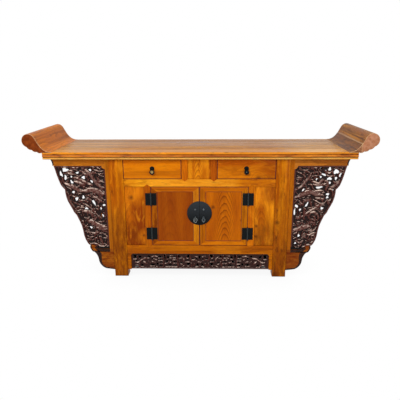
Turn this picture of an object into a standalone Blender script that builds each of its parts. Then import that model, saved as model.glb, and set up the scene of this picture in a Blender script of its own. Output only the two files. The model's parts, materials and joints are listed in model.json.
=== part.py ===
"""Elm altar sideboard with an everted flange top, two drawers over two doors, and pierced carvings.

Metres, +Z up. The front faces -Y, and the origin is on the floor under the middle of the top.
"""

import math

import bmesh
import bpy
from mathutils import Matrix, Vector

# Clearances
FIT = 0.0003  # glued, housed and seated faces
RUN = 0.0015  # round doors and drawer fronts

# Heights, stacked from the floor up
APRON_CLEARANCE = 0.047
APRON_HEIGHT = 0.110
BOTTOM_RAIL_HEIGHT = 0.058
DOOR_OPENING_HEIGHT = 0.3865
MID_RAIL_HEIGHT = 0.047
DRAWER_OPENING_HEIGHT = 0.1265
TOP_EDGE_HEIGHT = 0.045

# Top
FLAT_LENGTH = 1.768  # between the seams of the two flanges
TOP_OVERHANG = 0.030  # past the case, front and back
TOP_PANEL_THICK = 0.025
PANEL_TONGUE = 0.010
EDGE_EASE = 0.002  # rounding of the upper arris
EDGE_BAND = 0.028  # flat band of the moulding, scratched by a line
EDGE_LINE_DOWN = 0.015
EDGE_LINE_DEPTH = 0.0025
EDGE_LINE_HALF = 0.001
BEAD_RADIUS = 0.0065
BEAD_SETBACK = 0.0025
FLANGE_REACH = 0.174  # from its seam to the tip of its scroll
FLANGE_RISE = 0.1105
FLANGE_LAP = 0.059  # how far the top runs on under a flange
FLANGE_SEAT = 0.004  # how deep the flange is let into the top
FLANGE_LOBES = 3
LOBE_BULGE = 0.005
LOBE_SAG = 0.0065
SCROLL_RADIUS = 0.041
SCROLL_START = 152  # degrees round the scroll where the S-curve runs onto it
SCROLL_END = -70  # and where the lobes begin
KEY_WIDTH = 0.019  # the flange's key in the top panel
KEY_DEPTH = 0.012
KEY_INSET = 0.020

# Case
CASE_LENGTH = 1.104
CASE_DEPTH = 0.480
LEG_WIDTH = 0.086
LEG_DEPTH = 0.070
RAIL_DEPTH = 0.035
SIDE_RAIL_WIDTH = 0.036
BACK_TOP_RAIL_HEIGHT = 0.060
PANEL_THICK = 0.010
PANEL_SETBACK = 0.006
SIDE_PANEL_THICK = 0.014
SIDE_PANEL_SETBACK = 0.018
GROOVE_DEPTH = 0.007
FLOOR_THICK = 0.015
DUST_BOARD_THICK = 0.012
GUIDE_WIDTH = 0.015
GUIDE_HEIGHT = 0.020
TENON_LENGTH = 0.025
TENON_THICK = 0.012
TENON_SHOULDER = 0.010
MITRE_TIP = 0.014  # the pointed shoulder of an upright in a rail

# Front divisions
DOOR_OPENING_WIDTH = 0.604
HINGE_POST_WIDTH = 0.041
CENTRE_BAY_WIDTH = 0.140
DIVIDER_WIDTH = 0.038

# Doors
DOOR_THICK = 0.022
DOOR_STILE_WIDTH = 0.040
DOOR_RAIL_WIDTH = 0.032
DOOR_PANEL_EDGE = 0.007
DOOR_PANEL_SETBACK = 0.001
DOOR_PANEL_THICK = 0.015

# Drawers
DRAWER_FRONT_THICK = 0.020
DRAWER_SIDE_THICK = 0.012
DRAWER_SIDE_HEIGHT = 0.095
DRAWER_BACK_GAP = 0.035  # behind the closed drawer
DRAWER_BOTTOM_THICK = 0.008
DRAWER_BOTTOM_RAISE = 0.004
DRAWER_LAP = 0.008  # how far the sides are let into the front

# Hinges
HINGE_HEIGHT = 0.078
HINGE_LEAF_WIDTH = 0.034
HINGE_LEAF_THICK = 0.0025
HINGE_INSET = 0.079  # from the end of the door to the middle of the hinge
BARREL_RADIUS = 0.0052
PIN_RADIUS = 0.0026
PIN_PLAY = 0.0003
KNUCKLE_GAP = 0.0003
LEAF_CLEAR = 0.0008  # between a leaf and the other leaf's knuckle
LEAF_TAB = 0.004  # overlap of a knuckle's tab and its leaf
FINIAL_RADIUS = 0.0046

# Lock plate and its pendants
MEDALLION_RADIUS = 0.077
MEDALLION_THICK = 0.003
MEDALLION_RIM = 0.004
MEDALLION_DISH = 0.0008
MEDALLION_RISE = 0.023  # above the middle of the doors
BOSS_SPREAD = 0.0255
BOSS_RISE = 0.025
HANGER_DROP = 0.022
BOSS_RADIUS = 0.007
BOSS_HEIGHT = 0.009
PENDANT_WIDTH = 0.027
PENDANT_LENGTH = 0.038
PENDANT_EYE = 0.0042

# Drawer pulls
ROSETTE_RADIUS = 0.0145
ROSETTE_HEIGHT = 0.006
PULL_RISE = 0.003  # above the middle of the drawer front
PULL_DROP_RADIUS = 0.0155

# Stems that the pendants and pulls hang from
HANGER_OUT = 0.010  # from the face that carries it to the axis of its cross pin
STEM_RADIUS = 0.003
CROSS_PIN_RADIUS = 0.0015
EAR_RADIUS = 0.0032
EAR_WIDTH = 0.0022
EAR_PLAY = 0.0004
DROP_THICK = 0.003
DROP_SHOULDER = 0.0016  # between the ears and the top of the drop

# Spandrels beside the case
SPANDREL_REACH = 0.320
SPANDREL_RAIL_HEIGHT = 0.044
SPANDREL_RAIL_END = 0.040  # how far the rail runs on past the carving
RAIL_END_SLOPE = 0.013
SPANDREL_STRIP = 0.025
SPANDREL_CORNER = 0.020
SPANDREL_FOOT_LOW = 0.045
SPANDREL_FOOT_TOP = 0.187
SPANDREL_THICK = 0.022
SPANDREL_SETBACK = 0.004
SPANDREL_TONGUE = 0.008
TONGUE_STOP = 0.015  # how far a tongue stops short of the end of its board
CURL_RISE = 0.0275
CURL_BULGE = 0.004
FOOT_BULGE = 0.011
RAIL_END_BULGE = 0.004
CARVING_STROKE = 0.001  # the unit of length in the carver's lists below
CARVING_THICK = 0.015
CARVING_SETBACK = 0.003

# Apron under the case
APRON_THICK = 0.016
APRON_SETBACK = 0.006
APRON_END_WIDTH = 0.022
APRON_CORNER = 0.018
APRON_TONGUE = 0.008
APRON_TONGUE_THICK = 0.006

# Places worked out from the sizes above
BOTTOM_RAIL_LOW = APRON_CLEARANCE + APRON_HEIGHT
CASE_FLOOR = BOTTOM_RAIL_LOW + BOTTOM_RAIL_HEIGHT
MID_RAIL_LOW = CASE_FLOOR + DOOR_OPENING_HEIGHT
DRAWER_FLOOR = MID_RAIL_LOW + MID_RAIL_HEIGHT
TOP_UNDERSIDE = DRAWER_FLOOR + DRAWER_OPENING_HEIGHT
TOP_SURFACE = TOP_UNDERSIDE + TOP_EDGE_HEIGHT
CASE_TOP = TOP_UNDERSIDE - FIT
TOP_DEPTH = CASE_DEPTH + 2 * TOP_OVERHANG
TOP_EDGE_WIDTH = TOP_OVERHANG + LEG_DEPTH
FRONT = -CASE_DEPTH / 2
LEG_OUTER = CASE_LENGTH / 2
LEG_INNER = LEG_OUTER - LEG_WIDTH
LEG_REAR = FRONT + LEG_DEPTH
RAIL_REAR = FRONT + RAIL_DEPTH
DOOR_EDGE = DOOR_OPENING_WIDTH / 2
POST_OUTER = DOOR_EDGE + HINGE_POST_WIDTH
BAY_EDGE = CENTRE_BAY_WIDTH / 2
DRAWER_EDGE = BAY_EDGE + DIVIDER_WIDTH
SEAM = FLAT_LENGTH / 2
BOARD_END = SEAM + FLANGE_LAP
PANEL_FRONT = FRONT + PANEL_SETBACK
PANEL_REAR = PANEL_FRONT + PANEL_THICK
SIDE_PANEL_OUTER = LEG_OUTER - SIDE_PANEL_SETBACK
SIDE_PANEL_INNER = SIDE_PANEL_OUTER - SIDE_PANEL_THICK
DUST_BOARD_LOW = DRAWER_FLOOR - DUST_BOARD_THICK
DRAWER_CENTRE = (DRAWER_EDGE + LEG_INNER) / 2
DOOR_LOW = CASE_FLOOR + RUN
DOOR_HIGH = MID_RAIL_LOW - RUN
DOOR_REAR = FRONT + DOOR_THICK
BARREL_Y = FRONT - FIT - BARREL_RADIUS - KNUCKLE_GAP
BARREL_X = DOOR_EDGE - RUN / 2
MEDALLION_Z = (DOOR_LOW + DOOR_HIGH) / 2 + MEDALLION_RISE
MEDALLION_FACE = FRONT - FIT - MEDALLION_THICK
PULL_Z = (DRAWER_FLOOR + TOP_UNDERSIDE) / 2 + PULL_RISE
RAIL_LOW = CASE_TOP - SPANDREL_RAIL_HEIGHT
CARVING_HEIGHT = RAIL_LOW - SPANDREL_FOOT_TOP
APRON_INNER = LEG_INNER - APRON_END_WIDTH

# The shaped outer edge, as shares of the spandrel's reach and the carving's height, and its bows in strokes
SHAPED_EDGE = ((1.0, 1.0), (0.89, 0.728), (0.75, 0.455), (0.60, 0.236), (0.4766, 0.0395))
EDGE_BULGES = (17, 14, -4, 9)

# Piercings of a spandrel: share across, share up, length, width and tilt in degrees
SPANDREL_PIERCINGS = (
    (0.84, 0.930, 26, 22, 20), (0.945, 0.870, 30, 11, 78), (0.55, 0.955, 36, 15, 0),
    (0.70, 0.955, 26, 16, 80), (0.56, 0.890, 40, 12, -25), (0.45, 0.835, 28, 14, 60),
    (0.80, 0.860, 28, 13, 10), (0.83, 0.785, 20, 15, 40), (0.60, 0.735, 36, 14, 10),
    (0.20, 0.700, 20, 10, 70), (0.10, 0.930, 22, 18, 45), (0.27, 0.920, 34, 14, 50),
    (0.09, 0.800, 22, 14, 20), (0.24, 0.815, 30, 12, 45), (0.84, 0.640, 24, 13, 20),
    (0.62, 0.620, 30, 12, -8), (0.36, 0.560, 30, 13, 60), (0.14, 0.560, 24, 16, 75),
    (0.10, 0.440, 40, 12, 85), (0.27, 0.465, 28, 12, 80), (0.80, 0.485, 20, 16, 40),
    (0.57, 0.480, 28, 12, 45), (0.62, 0.350, 22, 14, 0), (0.20, 0.345, 26, 12, 70),
    (0.30, 0.195, 22, 16, 40), (0.70, 0.235, 24, 12, 35), (0.60, 0.120, 26, 13, 60),
    (0.22, 0.095, 18, 14, 20),
)

# Boughs that stand out of a spandrel's face: thickness, then share across and share up
SPANDREL_BOUGHS = (
    (10.5, (0.01, 0.620), (0.16, 0.665), (0.31, 0.705), (0.45, 0.690), (0.66, 0.680), (0.93, 0.710)),
    (8.5, (0.02, 0.735), (0.18, 0.765), (0.33, 0.855), (0.43, 0.905), (0.47, 0.985)),
    (11, (0.46, 0.780), (0.58, 0.800), (0.72, 0.830), (0.92, 0.800)),
    (8, (0.30, 0.330), (0.44, 0.440), (0.68, 0.545), (0.90, 0.565)),
    (10, (0.30, 0.395), (0.48, 0.405), (0.60, 0.435), (0.74, 0.415), (0.90, 0.380)),
    (10, (0.02, 0.250), (0.28, 0.275), (0.55, 0.295), (0.93, 0.275)),
    (7, (0.05, 0.500), (0.20, 0.520), (0.26, 0.610), (0.50, 0.590)),
    (7.5, (0.06, 0.120), (0.34, 0.090), (0.48, 0.160), (0.60, 0.200)),
)

# Leaves that stand out of a spandrel's face: share across, share up, length, width and tilt
SPANDREL_LEAVES = (
    (0.14, 0.865, 46, 16, 35), (0.66, 0.905, 50, 18, 10), (0.72, 0.775, 44, 18, -20),
    (0.42, 0.640, 48, 16, 15), (0.76, 0.590, 44, 16, 50), (0.22, 0.400, 50, 14, 70),
    (0.68, 0.190, 40, 16, 40), (0.40, 0.150, 44, 16, -30),
)

# Piercings of half the apron: share out from the middle, share up, length and height
APRON_PIERCINGS = (
    (0.945, 0.800, 16, 18), (0.845, 0.855, 42, 12), (0.690, 0.720, 26, 13),
    (0.595, 0.820, 21, 10), (0.590, 0.470, 24, 12), (0.590, 0.200, 20, 12),
    (0.845, 0.250, 24, 13), (0.695, 0.200, 24, 10), (0.760, 0.450, 26, 12),
    (0.925, 0.220, 18, 14), (0.518, 0.830, 9, 20), (0.465, 0.800, 12, 15),
    (0.410, 0.840, 16, 10), (0.355, 0.840, 12, 10), (0.480, 0.490, 17, 12),
    (0.375, 0.480, 20, 10), (0.490, 0.200, 19, 11), (0.355, 0.220, 16, 11),
    (0.180, 0.840, 16, 15), (0.190, 0.590, 21, 10), (0.175, 0.270, 18, 16),
    (0.265, 0.310, 15, 12), (0.280, 0.780, 12, 17), (0.090, 0.700, 18, 13),
    (0.065, 0.270, 14, 14),
)

# Scrolls that stand out of half the apron: thickness, then share out from the middle and share up
APRON_SCROLLS = (
    (6.5, (0.985, 0.420), (0.915, 0.440), (0.855, 0.640), (0.795, 0.700), (0.735, 0.860)),
    (5.5, (0.880, 0.080), (0.880, 0.480), (0.800, 0.560)),
    (6, (0.545, 0.060), (0.545, 0.940)),
    (5.5, (0.640, 0.900), (0.640, 0.620), (0.560, 0.620)),
    (5.5, (0.440, 0.350), (0.440, 0.660), (0.320, 0.660), (0.320, 0.350)),
    (6, (0.230, 0.060), (0.230, 0.940)),
    (5.5, (0.130, 0.900), (0.130, 0.450), (0.040, 0.450)),
)


def clear_scene():
    for obj in list(bpy.data.objects):
        bpy.data.objects.remove(obj, do_unlink=True)


def finish_material(name, colour, roughness, metallic):
    material = bpy.data.materials.new(name)
    material.use_nodes = True
    shader = material.node_tree.nodes["Principled BSDF"]
    shader.inputs["Base Color"].default_value = (*colour, 1.0)
    shader.inputs["Roughness"].default_value = roughness
    shader.inputs["Metallic"].default_value = metallic
    material.diffuse_color = (*colour, 1.0)
    return material


clear_scene()
CASE_ELM = finish_material("case_elm", (0.50, 0.17, 0.015), 0.35, 0.0)
TOP_ELM = finish_material("top_elm", (0.36, 0.17, 0.06), 0.38, 0.0)
INNER_ELM = finish_material("inner_elm", (0.45, 0.25, 0.10), 0.60, 0.0)
DARK_CARVING = finish_material("dark_carving", (0.045, 0.018, 0.013), 0.42, 0.0)
BLACK_IRON = finish_material("black_iron", (0.018, 0.022, 0.024), 0.38, 0.9)
DULL_BRASS = finish_material("dull_brass", (0.45, 0.36, 0.18), 0.35, 0.9)


def new_object(name, bm, finish, smooth_angle=None):
    """Makes an object of the shape, with its origin in the middle of it."""
    bmesh.ops.recalc_face_normals(bm, faces=bm.faces[:])
    low = Vector([min(v.co[i] for v in bm.verts) for i in range(3)])
    high = Vector([max(v.co[i] for v in bm.verts) for i in range(3)])
    middle = (low + high) / 2
    bmesh.ops.translate(bm, verts=bm.verts[:], vec=-middle)
    mesh = bpy.data.meshes.new(name)
    bm.to_mesh(mesh)
    bm.free()
    mesh.materials.append(finish)
    if smooth_angle is not None:
        mesh.shade_smooth()
        mesh.set_sharp_from_angle(angle=math.radians(smooth_angle))
    obj = bpy.data.objects.new(name, mesh)
    obj.location = middle
    bpy.context.scene.collection.objects.link(obj)
    return obj


def board(name, low, high, finish):
    """A squared board between two opposite corners, given in any order."""
    ends = [sorted(pair) for pair in zip(low, high)]
    size = [end - start for start, end in ends]
    middle = [(start + end) / 2 for start, end in ends]
    bm = bmesh.new()
    bmesh.ops.create_cube(bm, size=1.0, matrix=Matrix.Translation(middle) @ Matrix.Diagonal((*size, 1.0)))
    return new_object(name, bm, finish)


def prism(name, outline, start, end, along, finish, smooth_angle=None):
    """An outline drawn square to X, Y or Z and extruded along it."""
    place = {
        "X": lambda a, b: (start, a, b),
        "Y": lambda a, b: (a, start, b),
        "Z": lambda a, b: (a, b, start),
    }[along]
    travel = Vector([(end - start) * (axis == along) for axis in "XYZ"])
    bm = bmesh.new()
    face = bm.faces.new([bm.verts.new(place(a, b)) for a, b in outline])
    moved = bmesh.ops.extrude_face_region(bm, geom=[face])["geom"]
    bmesh.ops.translate(bm, verts=[v for v in moved if isinstance(v, bmesh.types.BMVert)], vec=travel)
    return new_object(name, bm, finish, smooth_angle)


def pierced_board(name, outline, piercings, front, rear, finish):
    """A board in the XZ plane with holes through it."""
    bm = bmesh.new()
    for loop in [outline, *piercings]:
        corners = [bm.verts.new((x, front, z)) for x, z in loop]
        for corner, following in zip(corners, corners[1:] + corners[:1]):
            bm.edges.new((corner, following))
    bmesh.ops.triangle_fill(bm, use_beauty=True, use_dissolve=False, edges=bm.edges[:], normal=(0, -1, 0))
    moved = bmesh.ops.extrude_face_region(bm, geom=bm.faces[:])["geom"]
    rear_verts = [v for v in moved if isinstance(v, bmesh.types.BMVert)]
    bmesh.ops.translate(bm, verts=rear_verts, vec=(0, rear - front, 0))
    return new_object(name, bm, finish)


def rod(name, start, end, radius, finish, sides=12):
    """A round bar between two points."""
    start, end = Vector(start), Vector(end)
    turn = (end - start).to_track_quat("Z", "Y").to_matrix().to_4x4()
    place = Matrix.Translation((start + end) / 2) @ turn
    bm = bmesh.new()
    bmesh.ops.create_cone(
        bm, cap_ends=True, segments=sides, radius1=radius, radius2=radius,
        depth=(end - start).length, matrix=place,
    )
    return new_object(name, bm, finish, smooth_angle=40)


def dome(name, middle, size, finish, tilt=0.0, sides=12, rings=6):
    """An ellipsoid of the given full sizes, turned by the tilt in the XZ plane."""
    place = Matrix.Translation(middle) @ Matrix.Rotation(-math.radians(tilt), 4, "Y")
    place = place @ Matrix.Diagonal((size[0] / 2, size[1] / 2, size[2] / 2, 1.0))
    bm = bmesh.new()
    bmesh.ops.create_uvsphere(bm, u_segments=sides, v_segments=rings, radius=1.0, matrix=place)
    return new_object(name, bm, finish, smooth_angle=60)


def bough(name, points, radius, finish):
    """A tapering six-sided branch through the points."""
    curve = bpy.data.curves.new(name, "CURVE")
    curve.dimensions = "3D"
    curve.bevel_depth = 1.0
    curve.bevel_resolution = 1
    curve.use_fill_caps = True
    line = curve.splines.new("POLY")
    line.points.add(len(points) - 1)
    for i, (knot, point) in enumerate(zip(line.points, points)):
        knot.co = (*point, 1.0)
        knot.radius = radius * (1.0 - 0.35 * i / (len(points) - 1))
    guide = bpy.data.objects.new(name, curve)
    bpy.context.scene.collection.objects.link(guide)
    bm = bmesh.new()
    bm.from_mesh(guide.to_mesh())
    bpy.data.objects.remove(guide, do_unlink=True)
    bmesh.ops.remove_doubles(bm, verts=bm.verts[:], dist=1e-6)
    return new_object(name, bm, finish, smooth_angle=70)


def shape_with(target, helper, operation):
    """Cuts or joins the helper, which is then kept out of sight as the target's child."""
    helper.name = f"{target.name}_{operation.lower()}"
    helper.hide_render = True
    helper.display_type = "WIRE"
    helper.location = helper.location - target.location
    helper.parent = target
    modifier = target.modifiers.new(helper.name, "BOOLEAN")
    modifier.operation = operation
    modifier.solver = "EXACT"
    modifier.object = helper


def cut(target, helper):
    shape_with(target, helper, "DIFFERENCE")


def join(target, helper):
    shape_with(target, helper, "UNION")


def house(targets, low, high):
    """Cuts the housing of a square tenon, tongue or panel edge, with its clearance, in each target."""
    for target in targets:
        room_low = [min(a, b) - FIT for a, b in zip(low, high)]
        room_high = [max(a, b) + FIT for a, b in zip(low, high)]
        cut(target, board("housing", room_low, room_high, INNER_ELM))


def carry(pieces, pivot_name, axis_point, parent=None):
    """Hangs the pieces of a moving body from an empty on its joint's axis."""
    pivot = bpy.data.objects.new(pivot_name, None)
    bpy.context.scene.collection.objects.link(pivot)
    pivot.location = axis_point
    origin = Vector(axis_point)
    if parent:
        pivot.location = origin - parent.location
        pivot.parent = parent
    for piece in pieces:
        piece.location = piece.location - origin
        piece.parent = pivot
    return pivot


def arc(start, end, bulge, steps=6):
    """Points of a round stretch from start up to, not including, end. It bows to the right of its way."""
    start, end = Vector(start), Vector(end)
    way = end - start
    length = way.length
    way.normalize()
    right = Vector((way.y, -way.x))
    radius = (length**2 / 4 + bulge**2) / (2 * bulge)
    middle = (start + end) / 2 + right * (bulge - radius)
    half = 2 * math.atan2(2 * bulge, length)
    angles = [half * (2 * i / steps - 1) for i in range(steps)]
    return [tuple(middle + radius * (right * math.cos(a) + way * math.sin(a))) for a in angles]


def quarter_round(start, end, radius):
    """A quarter circle, which bows to the right of its way where the radius is positive."""
    return arc(start, end, radius * (1 - math.sqrt(0.5)), 5)


def bezier(start, lead_out, lead_in, end, steps):
    """Points of a cubic curve from start up to, not including, end."""
    knots = [Vector(p) for p in (start, lead_out, lead_in, end)]
    points = []
    for i in range(steps):
        t = i / steps
        weights = ((1 - t) ** 3, 3 * t * (1 - t) ** 2, 3 * t**2 * (1 - t), t**3)
        points.append(tuple(sum((w * k for w, k in zip(weights, knots)), Vector((0, 0)))))
    return points


def to_side(outline, side):
    """The outline, drawn for the right, on the right (1) or the left (-1)."""
    return [(side * a, b) for a, b in outline]


SIDES = (("left", -1), ("right", 1))


def moulded_edge(name, facing):
    """A long board of the top: beaded outer edge, grooved inner edge. Facing is -1 at the front."""
    face = TOP_DEPTH / 2
    inner = face - TOP_EDGE_WIDTH
    top, low = TOP_SURFACE, TOP_UNDERSIDE
    line_z, line_half = top - EDGE_LINE_DOWN, EDGE_LINE_HALF
    line_lip = line_half + EDGE_LINE_DEPTH / 2
    bead_y, bead_z = face - BEAD_SETBACK - BEAD_RADIUS, low + BEAD_RADIUS + FIT
    tongue_half = TOP_PANEL_THICK / 6
    groove_z = top - TOP_PANEL_THICK / 2
    outline = [(inner, top), (face - EDGE_EASE, top), (face, top - EDGE_EASE)]
    outline += [(face, line_z + line_lip), (face - EDGE_LINE_DEPTH, line_z + line_half)]
    outline += [(face - EDGE_LINE_DEPTH, line_z - line_half), (face, line_z - line_lip)]
    outline += [(face, top - EDGE_BAND), (bead_y + BEAD_RADIUS / 2, bead_z + BEAD_RADIUS + FIT)]
    for i in range(7):
        angle = math.radians(80 - 160 * i / 6)
        outline.append((bead_y + BEAD_RADIUS * math.cos(angle), bead_z + BEAD_RADIUS * math.sin(angle)))
    outline += [(bead_y, low), (inner, low), (inner, groove_z - tongue_half - FIT)]
    outline += [(inner + PANEL_TONGUE + FIT, groove_z - tongue_half - FIT)]
    outline += [(inner + PANEL_TONGUE + FIT, groove_z + tongue_half + FIT)]
    outline += [(inner, groove_z + tongue_half + FIT)]
    outline = [(facing * y, z) for y, z in outline]
    return prism(name, outline, -BOARD_END, BOARD_END, "X", TOP_ELM, smooth_angle=35)


def top_panel():
    edge = TOP_DEPTH / 2 - TOP_EDGE_WIDTH - FIT
    top, low = TOP_SURFACE, TOP_SURFACE - TOP_PANEL_THICK
    tongue_half = TOP_PANEL_THICK / 6
    middle = (top + low) / 2
    half = [(edge, low), (edge, middle - tongue_half), (edge + PANEL_TONGUE, middle - tongue_half)]
    half += [(edge + PANEL_TONGUE, middle + tongue_half), (edge, middle + tongue_half), (edge, top)]
    outline = half + [(-y, z) for y, z in reversed(half)]
    return prism("top_panel", outline, -BOARD_END, BOARD_END, "X", TOP_ELM)


def flange_outline():
    """The scrolled end of the top, on the right: an S-curve up to the scroll, lobes back under it."""
    seat = TOP_SURFACE - FLANGE_SEAT + FIT
    middle = Vector((SEAM + FLANGE_REACH - SCROLL_RADIUS, TOP_SURFACE + FLANGE_RISE - SCROLL_RADIUS))

    def on_scroll(degrees):
        angle = math.radians(degrees)
        return middle + SCROLL_RADIUS * Vector((math.cos(angle), math.sin(angle)))

    onto, off = SCROLL_START, SCROLL_END
    tangent = Vector((math.sin(math.radians(onto)), -math.cos(math.radians(onto))))
    start = (SEAM + FIT, TOP_SURFACE)
    lead_out = (SEAM + FLANGE_REACH * 0.32, TOP_SURFACE)
    lead_in = on_scroll(onto) - tangent * FLANGE_RISE * 0.45
    outline = [(SEAM + FIT, seat)]
    outline += bezier(start, lead_out, lead_in, on_scroll(onto), 9)
    turns = 14
    outline += [tuple(on_scroll(onto + (off - onto) * i / turns)) for i in range(turns)]
    lobe_start, lobe_end = on_scroll(off), Vector((BOARD_END + FIT, seat))
    cusps = []
    for i in range(FLANGE_LOBES + 1):
        share = i / FLANGE_LOBES
        cusp = lobe_start.lerp(lobe_end, share)
        cusps.append(cusp - Vector((0, LOBE_SAG * 4 * share * (1 - share))))
    for cusp, following in zip(cusps, cusps[1:]):
        outline += arc(cusp, following, -LOBE_BULGE, 4)
    return outline + [tuple(lobe_end)]


def flange(name, side):
    half_depth = TOP_DEPTH / 2
    obj = prism(name, to_side(flange_outline(), side), -half_depth, half_depth, "Y", TOP_ELM, 40)
    low, high = flange_tongue(side)
    join(obj, board("tongue", low, high, TOP_ELM))
    return obj


def flange_tongue(side):
    """The key under a flange that is let into the top panel."""
    middle = SEAM + FLANGE_LAP / 2
    inner, outer = middle - KEY_WIDTH / 2, middle + KEY_WIDTH / 2
    half = TOP_DEPTH / 2 - TOP_EDGE_WIDTH - KEY_INSET
    seat = TOP_SURFACE - FLANGE_SEAT
    return (side * inner, -half, seat - KEY_DEPTH), (side * outer, half, seat + FLANGE_SEAT / 2)


def tenoned_rail(name, low, high, along, sockets):
    """A rail whose ends are tenoned into the sockets."""
    rail = board(name, low, high, CASE_ELM)
    core_low, core_high = [], []
    for axis, start, end in zip("XYZ", low, high):
        if axis == along:
            core_low.append(start - TENON_LENGTH)
            core_high.append(end + TENON_LENGTH)
        elif axis == "Z":
            core_low.append(start + TENON_SHOULDER)
            core_high.append(end - TENON_SHOULDER)
        else:
            core_low.append((start + end - TENON_THICK) / 2)
            core_high.append((start + end + TENON_THICK) / 2)
    house(sockets, core_low, core_high)
    join(rail, board("tenons", core_low, core_high, CASE_ELM))
    return rail


def leg(name, side, facing, edge_board):
    """A straight leg with a stub tenon up into the moulded board over it. Facing is -1 at the front."""
    inner, outer = side * LEG_INNER, side * LEG_OUTER
    face, rear = -facing * FRONT, -facing * LEG_REAR
    obj = board(name, (inner, face, 0.0), (outer, rear, CASE_TOP), CASE_ELM)
    middle_x, middle_y = (inner + outer) / 2, (face + rear) / 2
    half_x, half_y, deep = LEG_WIDTH / 4, LEG_DEPTH / 5, TOP_EDGE_HEIGHT / 2
    low = (middle_x - half_x, middle_y - half_y, CASE_TOP - deep)
    high = (middle_x + half_x, middle_y + half_y, CASE_TOP + deep)
    join(obj, board("stub", low, high, CASE_ELM))
    house([edge_board], low, high)
    return obj


def mitred_upright(name, inner, outer, low, high, rails_below, rails_above):
    """An upright of the front whose pointed shoulders are let into the rails it meets."""

    def outline(grow):
        middle = (inner + outer) / 2
        points = [(inner - grow, low + FIT)]
        if rails_below:
            points.append((middle, low + FIT - MITRE_TIP - 2 * grow))
        points += [(outer + grow, low + FIT), (outer + grow, high - FIT)]
        if rails_above:
            points.append((middle, high - FIT + MITRE_TIP + 2 * grow))
        points.append((inner - grow, high - FIT))
        return points

    obj = prism(name, outline(0.0), FRONT, RAIL_REAR, "Y", CASE_ELM)
    for rail in rails_below + rails_above:
        cut(rail, prism("notch", outline(FIT), FRONT - RUN, RAIL_REAR + RUN, "Y", CASE_ELM))
    return obj


def side_panel(name, side, neighbours, dust_board_edge):
    """A plain panel between the legs of one end, up to the underside of the top panel."""
    reach = -LEG_REAR + GROOVE_DEPTH
    step = TOP_DEPTH / 2 - TOP_EDGE_WIDTH - RUN
    low, top = CASE_FLOOR - GROOVE_DEPTH, TOP_SURFACE - TOP_PANEL_THICK - FIT
    outline = [(-reach, low), (reach, low), (reach, CASE_TOP), (step, CASE_TOP)]
    outline += [(step, top), (-step, top), (-step, CASE_TOP), (-reach, CASE_TOP)]
    inner, outer = side * SIDE_PANEL_INNER, side * SIDE_PANEL_OUTER
    obj = prism(name, outline, inner, outer, "X", CASE_ELM)
    house(neighbours, (inner, -reach, low), (outer, reach, CASE_TOP))
    house([obj], *dust_board_edge)
    return obj


def shaped_edge(gap=0.0):
    """The carving's outer edge, from the rail down to the curl of the foot, which it clears by the gap."""
    knots = [
        (LEG_OUTER + across * SPANDREL_REACH, SPANDREL_FOOT_TOP + up * CARVING_HEIGHT)
        for across, up in SHAPED_EDGE
    ]
    knots[-1] = (knots[-1][0], knots[-1][1] + 2 * gap)
    points = []
    for start, end, bulge in zip(knots, knots[1:], EDGE_BULGES):
        points += arc(start, end, -bulge * CARVING_STROKE, 5)
    return points + [knots[-1]]


def foot_crest(gap=0.0):
    """The top of the foot, from the strip beside the leg out to the tip of its curl."""
    reach = SHAPED_EDGE[-1][0] * SPANDREL_REACH
    base = SPANDREL_FOOT_TOP + 2 * gap
    tip = (LEG_OUTER + reach, base + SHAPED_EDGE[-1][1] * CARVING_HEIGHT)
    hollow = (LEG_OUTER + 0.655 * reach, base)
    shoulder = (LEG_OUTER + 0.761 * reach, base + CURL_RISE * 0.6)
    head = (LEG_OUTER + 0.905 * reach, base + CURL_RISE)
    points = [(LEG_OUTER + SPANDREL_STRIP + gap, base)]
    points += arc(hollow, shoulder, CURL_BULGE, 3)
    points += arc(shoulder, head, -CURL_BULGE, 3)
    points += arc(head, tip, -CURL_BULGE, 3)
    return points + [tip]


def foot_edge():
    """The outer edge of the foot, from under the tip of its curl round to the leg."""
    reach = SHAPED_EDGE[-1][0] * SPANDREL_REACH
    height = SPANDREL_FOOT_TOP + SHAPED_EDGE[-1][1] * CARVING_HEIGHT - SPANDREL_FOOT_LOW

    def at(across, up):
        return LEG_OUTER + across * reach, SPANDREL_FOOT_LOW + up * height

    points = arc(at(1.0, 1.0), at(0.955, 0.820), -CURL_BULGE, 4)[1:]
    points += arc(at(0.955, 0.820), at(0.835, 0.735), -CURL_BULGE, 4)
    points += arc(at(0.835, 0.735), at(0.675, 0.398), FOOT_BULGE / 2, 5)
    points += arc(at(0.675, 0.398), at(0.375, 0.031), -FOOT_BULGE, 6)
    return points + [at(0.375, 0.031), (LEG_OUTER + FIT, SPANDREL_FOOT_LOW)]


def spandrel_top():
    """The rail's upper edge, its sloped end, and its lower edge back to the carving."""
    end = LEG_OUTER + SPANDREL_REACH
    tip, heel = (end + SPANDREL_RAIL_END, CASE_TOP), (end + SPANDREL_RAIL_END - RAIL_END_SLOPE, RAIL_LOW)
    return [(LEG_OUTER + FIT, CASE_TOP)] + arc(tip, heel, RAIL_END_BULGE, 4) + [heel, (end, RAIL_LOW)]


def carving_corner(gap):
    """The rounded inner top corner of the carving, from the rail down to the strip."""
    inner, top = LEG_OUTER + SPANDREL_STRIP + gap, RAIL_LOW - gap
    start, end = (inner + SPANDREL_CORNER, top), (inner, top - SPANDREL_CORNER)
    return quarter_round(start, end, -SPANDREL_CORNER) + [end]


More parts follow.
